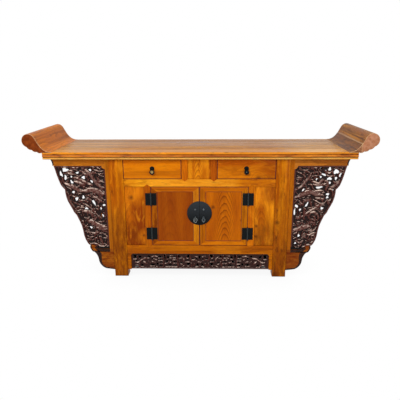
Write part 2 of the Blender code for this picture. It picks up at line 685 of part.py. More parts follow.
def tongue_into_leg(obj, side, face, leg_obj):
    """Tongues a spandrel along the outer face of its leg."""
    middle = face + math.copysign(SPANDREL_SETBACK + SPANDREL_THICK / 2, -face)
    half = SPANDREL_THICK / 6
    low = (side * (LEG_OUTER - SPANDREL_TONGUE), middle - half, SPANDREL_FOOT_LOW + TONGUE_STOP)
    high = (side * (LEG_OUTER + SPANDREL_STRIP / 2), middle + half, CASE_TOP - TONGUE_STOP)
    join(obj, board("tongue", low, high, CASE_ELM))
    house([leg_obj], low, high)


def spandrel_frame(name, side, leg_obj):
    """Rail, strip and curled foot round the carving."""
    outline = spandrel_top() + carving_corner(0.0) + foot_crest() + foot_edge()
    front = FRONT + SPANDREL_SETBACK
    obj = prism(name, to_side(outline, side), front, front + SPANDREL_THICK, "Y", CASE_ELM, 30)
    tongue_into_leg(obj, side, FRONT, leg_obj)
    return obj


def rear_spandrel(name, side, leg_obj):
    """The plain board of the same outline behind."""
    outline = spandrel_top() + shaped_edge()[1:] + foot_edge()
    rear = -FRONT - SPANDREL_SETBACK
    obj = prism(name, to_side(outline, side), rear - SPANDREL_THICK, rear, "Y", CASE_ELM, 30)
    tongue_into_leg(obj, side, -FRONT, leg_obj)
    return obj


def on_carving(across, up):
    """A place on a right-hand carving, from the strip to the shaped edge and from the foot to the rail."""
    z = SPANDREL_FOOT_TOP + up * CARVING_HEIGHT
    edge = shaped_edge()
    outer = edge[-1][0]
    for (x_high, z_high), (x_low, z_low) in zip(edge, edge[1:]):
        if z_low <= z <= z_high:
            outer = x_low + (x_high - x_low) * (z - z_low) / (z_high - z_low)
            break
    inner = LEG_OUTER + SPANDREL_STRIP
    return inner + across * (outer - inner), z


def pod(middle, length, width, tilt, sides=8):
    """A pod-shaped hole, blunt at one end and drawn out at the other."""
    turn = math.radians(tilt)
    points = []
    for i in range(sides):
        angle = 2 * math.pi * i / sides
        along = length / 2 * math.cos(angle)
        over = width / 2 * math.sin(angle) * (1 - 0.3 * math.cos(angle))
        points.append((
            middle[0] + along * math.cos(turn) - over * math.sin(turn),
            middle[1] + along * math.sin(turn) + over * math.cos(turn),
        ))
    return points


def spandrel_carving(name, side):
    """The pierced panel of boughs and leaves."""
    end = (LEG_OUTER + SPANDREL_REACH, RAIL_LOW - FIT)
    outline = [end] + shaped_edge(FIT)[1:] + foot_crest(FIT)[-2::-1]
    outline += carving_corner(FIT)[::-1]
    holes = [
        to_side(pod(on_carving(across, up), length * CARVING_STROKE, width * CARVING_STROKE, tilt), side)
        for across, up, length, width, tilt in SPANDREL_PIERCINGS
    ]
    front = FRONT + SPANDREL_SETBACK + CARVING_SETBACK
    obj = pierced_board(name, to_side(outline, side), holes, front, front + CARVING_THICK, DARK_CARVING)
    for thickness, *places in SPANDREL_BOUGHS:
        radius = thickness * CARVING_STROKE
        flat = to_side([on_carving(across, up) for across, up in places], side)
        join(obj, bough("bough", [(x, front + radius * 0.4, z) for x, z in flat], radius, DARK_CARVING))
    for across, up, length, width, tilt in SPANDREL_LEAVES:
        x, z = on_carving(across, up)
        size = (length * CARVING_STROKE, width * CARVING_STROKE, width * CARVING_STROKE)
        place = (side * x, front + size[1] * 0.15, z)
        join(obj, dome("leaf", place, size, DARK_CARVING, side * tilt, 8, 5))
    reach = front - CARVING_THICK, front + 2 * CARVING_THICK
    shape_with(obj, prism("trim", to_side(outline, side), *reach, "Y", DARK_CARVING), "INTERSECT")
    return obj


def apron_end(name, side, leg_obj):
    """The strip between the carved apron and a leg, with its quarter-round bracket."""
    low, top = APRON_CLEARANCE, BOTTOM_RAIL_LOW - FIT
    outline = [(LEG_INNER - FIT, low), (LEG_INNER - FIT, top), (APRON_INNER - APRON_CORNER, top)]
    bracket_end = (APRON_INNER, top - APRON_CORNER)
    outline += quarter_round(outline[-1], bracket_end, -APRON_CORNER)[1:]
    outline += [bracket_end, (APRON_INNER, low)]
    front = FRONT + APRON_SETBACK / 2
    obj = prism(name, to_side(outline, side), front, front + APRON_THICK, "Y", CASE_ELM, 30)
    middle, half = front + APRON_THICK / 2, APRON_TONGUE_THICK / 2
    tongue_low = (side * (APRON_INNER + APRON_END_WIDTH / 2), middle - half, low + TONGUE_STOP)
    tongue_high = (side * (LEG_INNER + APRON_TONGUE), middle + half, top - TONGUE_STOP)
    join(obj, board("tongue", tongue_low, tongue_high, CASE_ELM))
    house([leg_obj], tongue_low, tongue_high)
    return obj


def apron_carving(bottom_rail):
    """The pierced scrollwork under the bottom rail, the same on both sides of the middle."""
    low, top = APRON_CLEARANCE, BOTTOM_RAIL_LOW - 2 * FIT
    end = APRON_INNER - FIT
    corner_start, corner_end = (end, top - APRON_CORNER), (end - APRON_CORNER, top)
    right = [(end, low)] + quarter_round(corner_start, corner_end, APRON_CORNER) + [corner_end]
    outline = right + [(-x, z) for x, z in reversed(right)]

    def at(out, up):
        return out * end, low + up * (top - low)

    holes, front = [], FRONT + APRON_SETBACK
    for out, up, length, height in APRON_PIERCINGS:
        x, z = at(out, up)
        half_x, half_z = length * CARVING_STROKE / 2, height * CARVING_STROKE / 2
        nick = min(half_x, half_z) / 2
        hole = [(x - half_x, z - half_z), (x + half_x - nick, z - half_z), (x + half_x, z - half_z + nick)]
        hole += [(x + half_x, z + half_z), (x - half_x + nick, z + half_z), (x - half_x, z + half_z - nick)]
        holes += [hole, to_side(hole, -1)]
    obj = pierced_board("apron_carving", outline, holes, front, front + APRON_THICK, DARK_CARVING)
    for thickness, *places in APRON_SCROLLS:
        radius = thickness * CARVING_STROKE
        for _, side in SIDES:
            flat = to_side([at(out, up) for out, up in places], side)
            join(obj, bough("scroll", [(x, front + radius * 0.5, z) for x, z in flat], radius, DARK_CARVING))
    middle, half = front + APRON_THICK / 2, APRON_TONGUE_THICK / 2
    reach = end - APRON_CORNER
    tongue_low = (-reach, middle - half, top - APRON_TONGUE / 2)
    tongue_high = (reach, middle + half, top + APRON_TONGUE)
    join(obj, board("tongue", tongue_low, tongue_high, DARK_CARVING))
    house([bottom_rail], tongue_low, tongue_high)
    return obj


def notched_outline(front_steps, rear, end):
    """Half of a horizontal board's outline on the right: front steps, then a notch round each leg."""
    leg_x, leg_y = LEG_INNER - FIT, -LEG_REAR - FIT
    half = front_steps + [(leg_x, front_steps[-1][1]), (leg_x, -leg_y), (end, -leg_y)]
    half += [(end, leg_y), (leg_x, leg_y), (leg_x, rear)]
    return half + [(-x, y) for x, y in reversed(half)]


def cabinet_floor():
    """The floor of the cupboard. Its front edge stops the doors."""
    stop = DOOR_REAR + FIT
    steps = [(DOOR_EDGE - FIT, stop), (DOOR_EDGE - FIT, RAIL_REAR + FIT)]
    outline = notched_outline(steps, -PANEL_REAR - FIT, SIDE_PANEL_INNER - FIT)
    low = CASE_FLOOR + FIT
    return prism("cabinet_floor", outline, low, low + FLOOR_THICK, "Z", INNER_ELM)


def dust_board():
    """The board under the drawers with the strips that guide them."""
    front = RAIL_REAR + FIT
    end = SIDE_PANEL_INNER + SIDE_PANEL_THICK / 3
    outline = notched_outline([(0.0, front)], -PANEL_REAR - FIT, end)
    outline = [point for i, point in enumerate(outline) if point not in outline[:i]]
    obj = prism("dust_board", outline, DUST_BOARD_LOW, DRAWER_FLOOR, "Z", INNER_ELM)
    low, high = DRAWER_FLOOR - DUST_BOARD_THICK / 2, DRAWER_FLOOR + GUIDE_HEIGHT
    for _, side in SIDES:
        inner_guide = (side * (DRAWER_EDGE - GUIDE_WIDTH), RAIL_REAR + FIT, low)
        join(obj, board("guide", inner_guide, (side * DRAWER_EDGE, -LEG_REAR, high), INNER_ELM))
        outer_guide = (side * LEG_INNER, LEG_REAR + FIT, low)
        outer_end = (side * (LEG_INNER + GUIDE_WIDTH), -LEG_REAR - FIT, high)
        join(obj, board("guide", outer_guide, outer_end, INNER_ELM))
    return end


def hanger(target, x, z, face, finish):
    """A stem out of a face, with the cross pin that a pendant or a pull hangs on."""
    pin_y = face - HANGER_OUT
    stem_end = (x, pin_y - CROSS_PIN_RADIUS, z)
    join(target, rod("stem", (x, face + MEDALLION_THICK / 2, z), stem_end, STEM_RADIUS, finish, 10))
    reach = STEM_RADIUS + 2 * EAR_PLAY + EAR_WIDTH
    join(target, rod("pin", (x - reach, pin_y, z), (x + reach, pin_y, z), CROSS_PIN_RADIUS, finish, 8))
    return pin_y


def hung_drop(name, outline, piercings, x, pin_y, z, finish):
    """A flat drop on two ears round a cross pin. The outline's own zero is on the pin's axis."""
    half = DROP_THICK / 2
    placed = [(x + a, z + b) for a, b in outline]
    holes = [[(x + a, z + b) for a, b in hole] for hole in piercings]
    obj = pierced_board(name, placed, holes, pin_y - half, pin_y + half, finish)
    reach = STEM_RADIUS + EAR_PLAY + EAR_WIDTH
    for _, side in SIDES:
        inner, outer = x + side * (STEM_RADIUS + EAR_PLAY), x + side * reach
        join(obj, rod("ear", (inner, pin_y, z), (outer, pin_y, z), EAR_RADIUS, finish, 10))
        root = z - EAR_RADIUS - DROP_SHOULDER - DROP_THICK
        join(obj, board("neck", (inner, pin_y - half * 0.9, root), (outer, pin_y + half * 0.9, z), finish))
    ends = (x - 2 * reach, pin_y, z), (x + 2 * reach, pin_y, z)
    cut(obj, rod("bore", *ends, CROSS_PIN_RADIUS + PIN_PLAY, finish, 10))
    return obj


def ring(middle, radius, sides):
    angles = [2 * math.pi * (i + 0.5) / sides for i in range(sides)]
    return [(middle[0] + radius * math.cos(a), middle[1] + radius * math.sin(a)) for a in angles]


def medallion_half(name, side):
    """Half of the round lock plate: dished face, boss and hanger."""
    bm = bmesh.new()
    place = Matrix.Translation((0, MEDALLION_FACE + MEDALLION_THICK / 2, MEDALLION_Z))
    place = place @ Matrix.Rotation(math.radians(90), 4, "X")
    bmesh.ops.create_cone(
        bm, cap_ends=True, segments=40, radius1=MEDALLION_RADIUS, radius2=MEDALLION_RADIUS,
        depth=MEDALLION_THICK, matrix=place,
    )
    face = [f for f in bm.faces if len(f.verts) > 4 and f.calc_center_median().y < MEDALLION_FACE + FIT]
    bmesh.ops.inset_region(bm, faces=face, thickness=MEDALLION_RIM, use_even_offset=True)
    bmesh.ops.inset_region(bm, faces=face, thickness=MEDALLION_RIM / 2, depth=-MEDALLION_DISH)
    whole = bm.verts[:] + bm.edges[:] + bm.faces[:]
    split = (side * RUN / 2, 0, 0)
    bmesh.ops.bisect_plane(bm, geom=whole, plane_co=split, plane_no=(-side, 0, 0), clear_outer=True)
    bmesh.ops.holes_fill(bm, edges=[e for e in bm.edges if e.is_boundary])
    obj = new_object(name, bm, BLACK_IRON, smooth_angle=35)
    x = side * BOSS_SPREAD
    boss_place = (x, MEDALLION_FACE + MEDALLION_THICK / 2 - BOSS_HEIGHT / 2, MEDALLION_Z + BOSS_RISE)
    join(obj, dome("boss", boss_place, (2 * BOSS_RADIUS, BOSS_HEIGHT, 2 * BOSS_RADIUS), BLACK_IRON))
    return obj


def pendant_outline():
    """A shield that narrows to a point."""
    half, top = PENDANT_WIDTH / 2, -EAR_RADIUS - DROP_SHOULDER
    right = [(half * 0.45, top), (half, top - PENDANT_LENGTH * 0.28)]
    right += arc((half, top - PENDANT_LENGTH * 0.28), (0.0, top - PENDANT_LENGTH * 0.88), -0.003, 4)[1:]
    outline = right + [(0.0, top - PENDANT_LENGTH * 0.88)] + [(-x, z) for x, z in reversed(right)]
    return outline, ring((0.0, top - PENDANT_LENGTH * 0.36), PENDANT_EYE, 8)


def hinge_leaf(name, side, z, to_door):
    """One leaf of a butt hinge. The leaf on the post has the end knuckles and the pin."""
    away = -side if to_door else side
    axis_x = side * BARREL_X
    face = FRONT - FIT
    clear = BARREL_RADIUS + LEAF_CLEAR
    half = HINGE_HEIGHT / 2
    plate_low = (axis_x + away * clear, face - HINGE_LEAF_THICK, z - half)
    obj = board(name, plate_low, (axis_x + away * HINGE_LEAF_WIDTH, face, z + half), BLACK_IRON)
    third = HINGE_HEIGHT / 6
    if to_door:
        stretches = [(z - third + KNUCKLE_GAP, z + third - KNUCKLE_GAP)]
    else:
        stretches = [(z - half, z - third), (z + third, z + half)]
    for low, high in stretches:
        tab_low = (axis_x, face - HINGE_LEAF_THICK, low)
        join(obj, board("tab", tab_low, (axis_x + away * (clear + LEAF_TAB), face, high), BLACK_IRON))
        ends = (axis_x, BARREL_Y, low), (axis_x, BARREL_Y, high)
        join(obj, rod("knuckle", *ends, BARREL_RADIUS, BLACK_IRON))
    if to_door:
        ends = (axis_x, BARREL_Y, z - half), (axis_x, BARREL_Y, z + half)
        cut(obj, rod("bore", *ends, PIN_RADIUS + PIN_PLAY, BLACK_IRON))
        return obj
    ends = (axis_x, BARREL_Y, z - third * 2), (axis_x, BARREL_Y, z + third * 2)
    join(obj, rod("pin", *ends, PIN_RADIUS, BLACK_IRON))
    for end in (z - half, z + half):
        size = (2 * FINIAL_RADIUS,) * 3
        join(obj, dome("finial", (axis_x, BARREL_Y, end), size, BLACK_IRON, 0.0, 10, 6))
    return obj


def door(side_name, side):
    """A framed door with its panel, hinges, half lock plate and pendant."""
    near, far = side * RUN / 2, side * (DOOR_EDGE - RUN)
    frame = board(f"door_frame_{side_name}", (near, FRONT, DOOR_LOW), (far, DOOR_REAR, DOOR_HIGH), CASE_ELM)
    open_low = (near + side * DOOR_STILE_WIDTH, FRONT - RUN, DOOR_LOW + DOOR_RAIL_WIDTH)
    open_high = (far - side * DOOR_STILE_WIDTH, DOOR_REAR + RUN, DOOR_HIGH - DOOR_RAIL_WIDTH)
    cut(frame, board("opening", open_low, open_high, CASE_ELM))
    face = FRONT + DOOR_PANEL_SETBACK
    field_low = (open_low[0] + side * FIT, face, open_low[2] + FIT)
    field_high = (open_high[0] - side * FIT, face + DOOR_PANEL_THICK, open_high[2] - FIT)
    panel = board(f"door_panel_{side_name}", field_low, field_high, CASE_ELM)
    edge_y, edge_half = face + DOOR_PANEL_THICK / 2, DOOR_PANEL_EDGE / 2
    edge_low = (open_low[0] - side * GROOVE_DEPTH, edge_y - edge_half, open_low[2] - GROOVE_DEPTH)
    edge_high = (open_high[0] + side * GROOVE_DEPTH, edge_y + edge_half, open_high[2] + GROOVE_DEPTH)
    join(panel, board("edge", edge_low, edge_high, CASE_ELM))
    house([frame], edge_low, edge_high)

    plate = medallion_half(f"medallion_{side_name}", side)
    hang_x, hang_z = side * BOSS_SPREAD, MEDALLION_Z - HANGER_DROP
    pin_y = hanger(plate, hang_x, hang_z, MEDALLION_FACE, BLACK_IRON)
    outline, eye = pendant_outline()
    pendant = hung_drop(f"medallion_pendant_{side_name}", outline, [eye], hang_x, pin_y, hang_z, BLACK_IRON)

    pieces = [frame, panel, plate]
    for level, z in (("lower", DOOR_LOW + HINGE_INSET), ("upper", DOOR_HIGH - HINGE_INSET)):
        hinge_leaf(f"hinge_post_leaf_{side_name}_{level}", side, z, to_door=False)
        pieces.append(hinge_leaf(f"hinge_door_leaf_{side_name}_{level}", side, z, to_door=True))
    pivot = carry(pieces, f"door_{side_name}_hinge", (side * BARREL_X, BARREL_Y, (DOOR_LOW + DOOR_HIGH) / 2))
    carry([pendant], f"pendant_{side_name}_swing", (hang_x, pin_y, hang_z), pivot)


def drawer(side_name, side):
    """A drawer with its front, its box and its round drop pull."""
    inner, outer = side * (DRAWER_EDGE + RUN), side * (LEG_INNER - RUN)
    front_rear = FRONT + DRAWER_FRONT_THICK
    low, high = DRAWER_FLOOR + RUN, TOP_UNDERSIDE - RUN - FIT
    front = board(f"drawer_front_{side_name}", (inner, FRONT, low), (outer, front_rear, high), CASE_ELM)

    box_low = DRAWER_FLOOR + FIT
    lap_y, end_y = front_rear - DRAWER_LAP, -RAIL_REAR - DRAWER_BACK_GAP
    wall = side * DRAWER_SIDE_THICK
    outline = [(inner, lap_y), (inner + wall, lap_y), (inner + wall, end_y - DRAWER_SIDE_THICK)]
    outline += [(outer - wall, end_y - DRAWER_SIDE_THICK), (outer - wall, lap_y)]
    outline += [(outer, lap_y), (outer, end_y), (inner, end_y)]
    box = prism(f"drawer_box_{side_name}", outline, box_low, box_low + DRAWER_SIDE_HEIGHT, "Z", INNER_ELM)
    for start in (inner, outer - wall):
        house([front], (start, lap_y, box_low), (start + wall, end_y, box_low + DRAWER_SIDE_HEIGHT))
    bottom_low = (inner + wall / 2, front_rear + FIT, box_low + DRAWER_BOTTOM_RAISE)
    bottom_top = box_low + DRAWER_BOTTOM_RAISE + DRAWER_BOTTOM_THICK
    bottom_high = (outer - wall / 2, end_y - DRAWER_SIDE_THICK / 2, bottom_top)
    join(box, board("bottom", bottom_low, bottom_high, INNER_ELM))

    x = side * DRAWER_CENTRE
    face = FRONT - FIT
    size = (2 * ROSETTE_RADIUS, 2 * ROSETTE_HEIGHT, 2 * ROSETTE_RADIUS)
    plate = dome(f"pull_plate_{side_name}", (x, face, PULL_Z), size, BLACK_IRON, 0.0, 16, 8)
    spare = 2 * ROSETTE_RADIUS
    low, high = (x - spare, face, PULL_Z - spare), (x + spare, face + spare, PULL_Z + spare)
    cut(plate, board("back", low, high, BLACK_IRON))
    pin_y = hanger(plate, x, PULL_Z, face - ROSETTE_HEIGHT / 2, BLACK_IRON)
    disc = ring((0.0, -EAR_RADIUS - DROP_SHOULDER - PULL_DROP_RADIUS), PULL_DROP_RADIUS, 20)
    drop = hung_drop(f"pull_drop_{side_name}", disc, [], x, pin_y, PULL_Z, DULL_BRASS)

    pivot = carry([front, box, plate], f"drawer_{side_name}_slide", (x, FRONT, DRAWER_FLOOR))
    carry([drop], f"pull_{side_name}_swing", (x, pin_y, PULL_Z), pivot)


def build_top():
    edges = {"front": moulded_edge("top_front_edge", -1), "back": moulded_edge("top_back_edge", 1)}
    panel = top_panel()
    seat = TOP_SURFACE - FLANGE_SEAT
    for side_name, side in SIDES:
        flange(f"top_flange_{side_name}", side)
        house([panel], *flange_tongue(side))
        for target in (panel, *edges.values()):
            spare = FLANGE_REACH
            low, high = (side * SEAM, -TOP_DEPTH, seat), (side * (SEAM + spare), TOP_DEPTH, seat + spare)
            cut(target, board("seat", low, high, TOP_ELM))
    return edges


def build_case(edges):
    legs = {}
    for place, facing in (("front", -1), ("back", 1)):
        for side_name, side in SIDES:
            legs[place, side_name] = leg(f"leg_{place}_{side_name}", side, facing, edges[place])
    fronts = [legs["front", name] for name, _ in SIDES]
    backs = [legs["back", name] for name, _ in SIDES]
    span = LEG_INNER - FIT

    def cross_rail(name, low, high, face, rear, sockets):
        return tenoned_rail(name, (-span, face, low), (span, rear, high), "X", sockets)

    mid = cross_rail("front_mid_rail", MID_RAIL_LOW, DRAWER_FLOOR, FRONT, RAIL_REAR, fronts)
    bottom = cross_rail("front_bottom_rail", BOTTOM_RAIL_LOW, CASE_FLOOR, FRONT, RAIL_REAR, fronts)
    back_low = CASE_TOP - BACK_TOP_RAIL_HEIGHT
    back_top = cross_rail("back_top_rail", back_low, CASE_TOP, -RAIL_REAR, -FRONT, backs)
    back_bottom = cross_rail("back_bottom_rail", BOTTOM_RAIL_LOW, CASE_FLOOR, -RAIL_REAR, -FRONT, backs)

    board_end = dust_board()
    panel_low, panel_high = CASE_FLOOR - GROOVE_DEPTH, back_low + GROOVE_DEPTH
    reach = LEG_INNER + GROOVE_DEPTH
    low, high = (-reach, -PANEL_REAR, panel_low), (reach, -PANEL_FRONT, panel_high)
    board("back_panel", low, high, INNER_ELM)
    house([*backs, back_top, back_bottom], low, high)

    for side_name, side in SIDES:
        ends = [legs["front", side_name], legs["back", side_name]]
        middle = (SIDE_PANEL_INNER + SIDE_PANEL_OUTER) / 2
        rail_x = sorted((side * (middle - SIDE_RAIL_WIDTH / 2), side * (middle + SIDE_RAIL_WIDTH / 2)))
        rail_low = (rail_x[0], LEG_REAR + FIT, BOTTOM_RAIL_LOW)
        rail_high = (rail_x[1], -LEG_REAR - FIT, CASE_FLOOR)
        rail = tenoned_rail(f"side_rail_{side_name}", rail_low, rail_high, "Y", ends)
        edge_low = (side * SIDE_PANEL_INNER / 2, LEG_REAR, DUST_BOARD_LOW)
        edge_high = (side * board_end, -LEG_REAR, DRAWER_FLOOR)
        side_panel(f"side_panel_{side_name}", side, [*ends, rail], (edge_low, edge_high))

        inner, outer = sorted((side * DOOR_EDGE, side * POST_OUTER))
        name = f"hinge_post_{side_name}"
        post = mitred_upright(name, inner, outer, CASE_FLOOR, MID_RAIL_LOW, [bottom], [mid])
        panel_inner, panel_outer = side * (POST_OUTER - GROOVE_DEPTH), side * reach
        low = (panel_inner, PANEL_FRONT, CASE_FLOOR - GROOVE_DEPTH)
        high = (panel_outer, PANEL_REAR, MID_RAIL_LOW + GROOVE_DEPTH)
        board(f"front_panel_{side_name}", low, high, CASE_ELM)
        house([post, legs["front", side_name], mid, bottom], low, high)

    dividers = []
    for side_name, side in SIDES:
        inner, outer = sorted((side * BAY_EDGE, side * DRAWER_EDGE))
        name = f"drawer_divider_{side_name}"
        dividers.append(mitred_upright(name, inner, outer, DRAWER_FLOOR, TOP_UNDERSIDE, [mid], []))
    low = (-BAY_EDGE - GROOVE_DEPTH, PANEL_FRONT, DRAWER_FLOOR - GROOVE_DEPTH)
    high = (BAY_EDGE + GROOVE_DEPTH, PANEL_REAR, CASE_TOP)
    board("drawer_bay_panel", low, high, CASE_ELM)
    house([*dividers, mid], low, high)

    cabinet_floor()
    apron_carving(bottom)
    for side_name, side in SIDES:
        apron_end(f"apron_end_{side_name}", side, legs["front", side_name])
        spandrel_frame(f"spandrel_frame_{side_name}", side, legs["front", side_name])
        spandrel_carving(f"spandrel_carving_{side_name}", side)
        rear_spandrel(f"rear_spandrel_{side_name}", side, legs["back", side_name])


def main():
    build_case(build_top())
    for side_name, side in SIDES:
        door(side_name, side)
        drawer(side_name, side)


main()
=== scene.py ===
# %% [markdown]
# A console buffet with scrolled ends and carved spandrels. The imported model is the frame: exact boards,
# doors and iron. This lesson gives every board its elm, cuts the carvings fresh, and finishes the iron,
# piece by piece.

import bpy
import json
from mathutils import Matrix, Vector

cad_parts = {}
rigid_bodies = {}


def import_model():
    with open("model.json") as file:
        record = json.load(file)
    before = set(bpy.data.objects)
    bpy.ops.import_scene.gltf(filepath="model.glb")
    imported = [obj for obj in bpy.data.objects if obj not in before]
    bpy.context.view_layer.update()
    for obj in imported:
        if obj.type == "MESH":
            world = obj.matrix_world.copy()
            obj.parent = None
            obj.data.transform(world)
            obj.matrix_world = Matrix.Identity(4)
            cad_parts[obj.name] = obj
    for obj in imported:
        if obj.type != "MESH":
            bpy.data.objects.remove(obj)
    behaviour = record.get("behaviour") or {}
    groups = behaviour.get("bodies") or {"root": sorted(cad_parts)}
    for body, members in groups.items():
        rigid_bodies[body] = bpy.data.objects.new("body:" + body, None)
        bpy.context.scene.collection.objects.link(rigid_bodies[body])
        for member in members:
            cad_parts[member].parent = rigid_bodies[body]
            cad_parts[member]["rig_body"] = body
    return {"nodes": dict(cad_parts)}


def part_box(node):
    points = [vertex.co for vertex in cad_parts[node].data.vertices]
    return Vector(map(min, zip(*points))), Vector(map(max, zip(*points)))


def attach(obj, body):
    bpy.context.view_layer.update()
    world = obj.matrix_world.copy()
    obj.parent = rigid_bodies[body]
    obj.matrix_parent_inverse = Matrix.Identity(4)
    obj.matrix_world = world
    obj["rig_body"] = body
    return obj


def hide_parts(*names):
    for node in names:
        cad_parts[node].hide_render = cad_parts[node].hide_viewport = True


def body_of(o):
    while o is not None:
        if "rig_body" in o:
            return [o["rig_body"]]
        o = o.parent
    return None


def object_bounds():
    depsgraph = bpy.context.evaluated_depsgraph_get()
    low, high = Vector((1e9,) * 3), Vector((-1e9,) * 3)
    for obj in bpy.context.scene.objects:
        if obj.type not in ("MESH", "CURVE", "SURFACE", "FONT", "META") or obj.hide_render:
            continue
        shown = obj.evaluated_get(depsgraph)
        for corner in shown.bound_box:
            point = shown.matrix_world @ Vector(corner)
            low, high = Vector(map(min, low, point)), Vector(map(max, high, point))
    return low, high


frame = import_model()
cad_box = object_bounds()
nodes = frame["nodes"]
print("nodes", len(nodes), "box", [tuple(round(v, 4) for v in corner) for corner in cad_box])

# %% [markdown]
# The camera stands a little right of the middle, above the top, and looks down about sixteen degrees. Those
# numbers were solved from the straight edges of the furniture. A camera could be turned by eye, but then no
# edge would land on its place. Three turns in a row are easier to read than one matrix: heading, tilt, and
# a slight roll.

# %% Camera
import json
import math
import random

import bmesh
import bpy
from mathutils import Matrix, Vector

EYE = (0.0743, -2.8689, 1.2703)  # metres
HEADING, DOWN, ROLL = 1.535, 15.989, -0.328  # degrees
FOCAL_LENGTH, SENSOR = 39.79, 36.0  # millimetres

scene = bpy.context.scene
scene.view_settings.view_transform = "Standard"
lens = bpy.data.cameras.new("photograph_view")
lens.sensor_width, lens.lens = SENSOR, FOCAL_LENGTH
camera = bpy.data.objects.new("photograph_view", lens)
stand = Matrix.Translation(EYE) @ Matrix.Rotation(math.radians(HEADING), 4, "Z")
tilt = Matrix.Rotation(math.radians(90 - DOWN), 4, "X") @ Matrix.Rotation(math.radians(ROLL), 4, "Z")
camera.matrix_world = stand @ tilt
scene.collection.objects.link(camera)
scene.camera = camera
print("camera at", EYE, "lens", FOCAL_LENGTH, "mm")

# %% [markdown]
# Two small tools come first. Paint charts and screens give colours as sRGB hex codes, while shaders work in
# linear light, so one function turns one into the other. A second one adds a node, gives it settings, and
# fills its sockets with numbers or with links from other nodes. Every material below is made with it.

# %% Colour and node tools


def linear(code):
    """The linear colour of an sRGB hex code."""
    parts = [int(code[i : i + 2], 16) / 255 for i in (1, 3, 5)]
    return (*(p / 12.92 if p <= 0.04045 else ((p + 0.055) / 1.055) ** 2.4 for p in parts), 1.0)


def add(tree, kind, sockets=None, **settings):
    """A new node. A socket takes a number, a colour, an output, or a node, whose first output is linked."""
    made = tree.nodes.new("ShaderNode" + kind)
    for name, value in settings.items():
        setattr(made, name, value)
    for name, value in (sockets or {}).items():
        if isinstance(value, bpy.types.Node):
            value = value.outputs[0]
        if isinstance(value, bpy.types.NodeSocket):
            tree.links.new(value, made.inputs[name])
        else:
            made.inputs[name].default_value = value
    return made


def start_material(name):
    """An empty material and its node tree."""
    finish = bpy.data.materials.new(name)
    finish.use_nodes = True
    finish.node_tree.nodes.clear()
    return finish, finish.node_tree


print("amber in linear light", tuple(round(v, 3) for v in linear("#C06A10")))

# %% [markdown]
# The floor is pale studio paper. The camera sees it as plain white, through Light Path, while the light
# that it gives back stays at a plain level. Its shadow is painted shade in that white. Ambient occlusion
# says how much sky a spot of floor sees: the painted shade is faint round the feet, and deep behind the
# apron where the case is low.

# %% Floor
FLOOR_HALF = 9.0  # metres
DEEPEST_SHADE = -0.94  # what is taken from the white under the case


def seen_directly(tree):
    """One for rays from the camera, from metal or through glass, and zero for the light on other things."""
    path = add(tree, "LightPath").outputs
    shiny = add(tree, "Math", {0: path["Is Glossy Ray"], 1: path["Is Transmission Ray"]}, operation="MAXIMUM")
    return add(tree, "Math", {0: path["Is Camera Ray"], 1: shiny}, operation="MAXIMUM")


bm = bmesh.new()
bmesh.ops.create_grid(bm, x_segments=1, y_segments=1, size=FLOOR_HALF)
floor_mesh = bpy.data.meshes.new("studio_floor")
bm.to_mesh(floor_mesh)
bm.free()
floor = bpy.data.objects.new("studio_floor", floor_mesh)
scene.collection.objects.link(floor)

paper, tree = start_material("studio_paper")
open_sky = add(tree, "AmbientOcclusion", {"Distance": 0.5}, samples=32).outputs["AO"]
faint = add(tree, "MapRange", {"Value": open_sky, "From Max": 0.8, "To Min": 0.90, "To Max": 1.0})
low_case = {"Value": open_sky, "From Min": 0.54, "From Max": 0.38}
closed = add(tree, "MapRange", low_case, interpolation_type="SMOOTHSTEP")
depth = add(tree, "SeparateXYZ", {0: add(tree, "TexCoord").outputs["Object"]}).outputs["Y"]
# The painted shade begins on a line just behind the apron, so the floor in front of it stays white.
apron_line = {"Value": depth, "From Min": -0.14, "From Max": -0.075}
behind_apron = add(tree, "MapRange", apron_line, interpolation_type="SMOOTHSTEP")
under = add(tree, "Math", {0: closed, 1: behind_apron}, operation="MULTIPLY")
shade = add(tree, "Math", {0: under, 1: DEEPEST_SHADE, 2: faint}, operation="MULTIPLY_ADD", use_clamp=True)
white = add(tree, "Emission", {"Color": (1, 1, 1, 1), "Strength": shade})
matt = add(tree, "BsdfDiffuse", {"Color": linear("#EDEDEB")})
mixed = add(tree, "MixShader", {0: seen_directly(tree), 1: matt, 2: white})
add(tree, "OutputMaterial", {0: mixed})
floor_mesh.materials.append(paper)
print("floor", 2 * FLOOR_HALF, "m wide")

# %% [markdown]
# The sky is one even white. The camera, and what metal reflects, sees it at full strength. The light that
# falls on the furniture is about a third of that, so that a colour renders about as it is written.

# %% Sky
SKY_LIGHT = 0.35

world = bpy.data.worlds.new("studio_sky")
scene.world = world
world.use_nodes = True
tree = world.node_tree
tree.nodes.clear()
level = {0: seen_directly(tree), 1: 1 - SKY_LIGHT, 2: SKY_LIGHT}
level = add(tree, "Math", level, operation="MULTIPLY_ADD")
sky = add(tree, "Background", {"Color": (1, 1, 1, 1), "Strength": level})
add(tree, "OutputWorld", {0: sky})
print("sky light", SKY_LIGHT)

# %% [markdown]
# Three large soft lamps: the main one high on the left in front, a weaker one on the right, and one
# overhead for the broad sheen on the top. Small lamps would draw hard shadows that the piece does not show.

# %% Lamps


def soft_lamp(name, place, aim, width, power):
    """A square lamp that looks at a point. Lengths are in metres, the power in watts."""
    lamp = bpy.data.lights.new(name, "AREA")
    lamp.size, lamp.energy = width, power
    holder = bpy.data.objects.new(name, lamp)
    holder.location = place
    holder.rotation_euler = (Vector(aim) - Vector(place)).to_track_quat("-Z", "Y").to_euler()
    scene.collection.objects.link(holder)


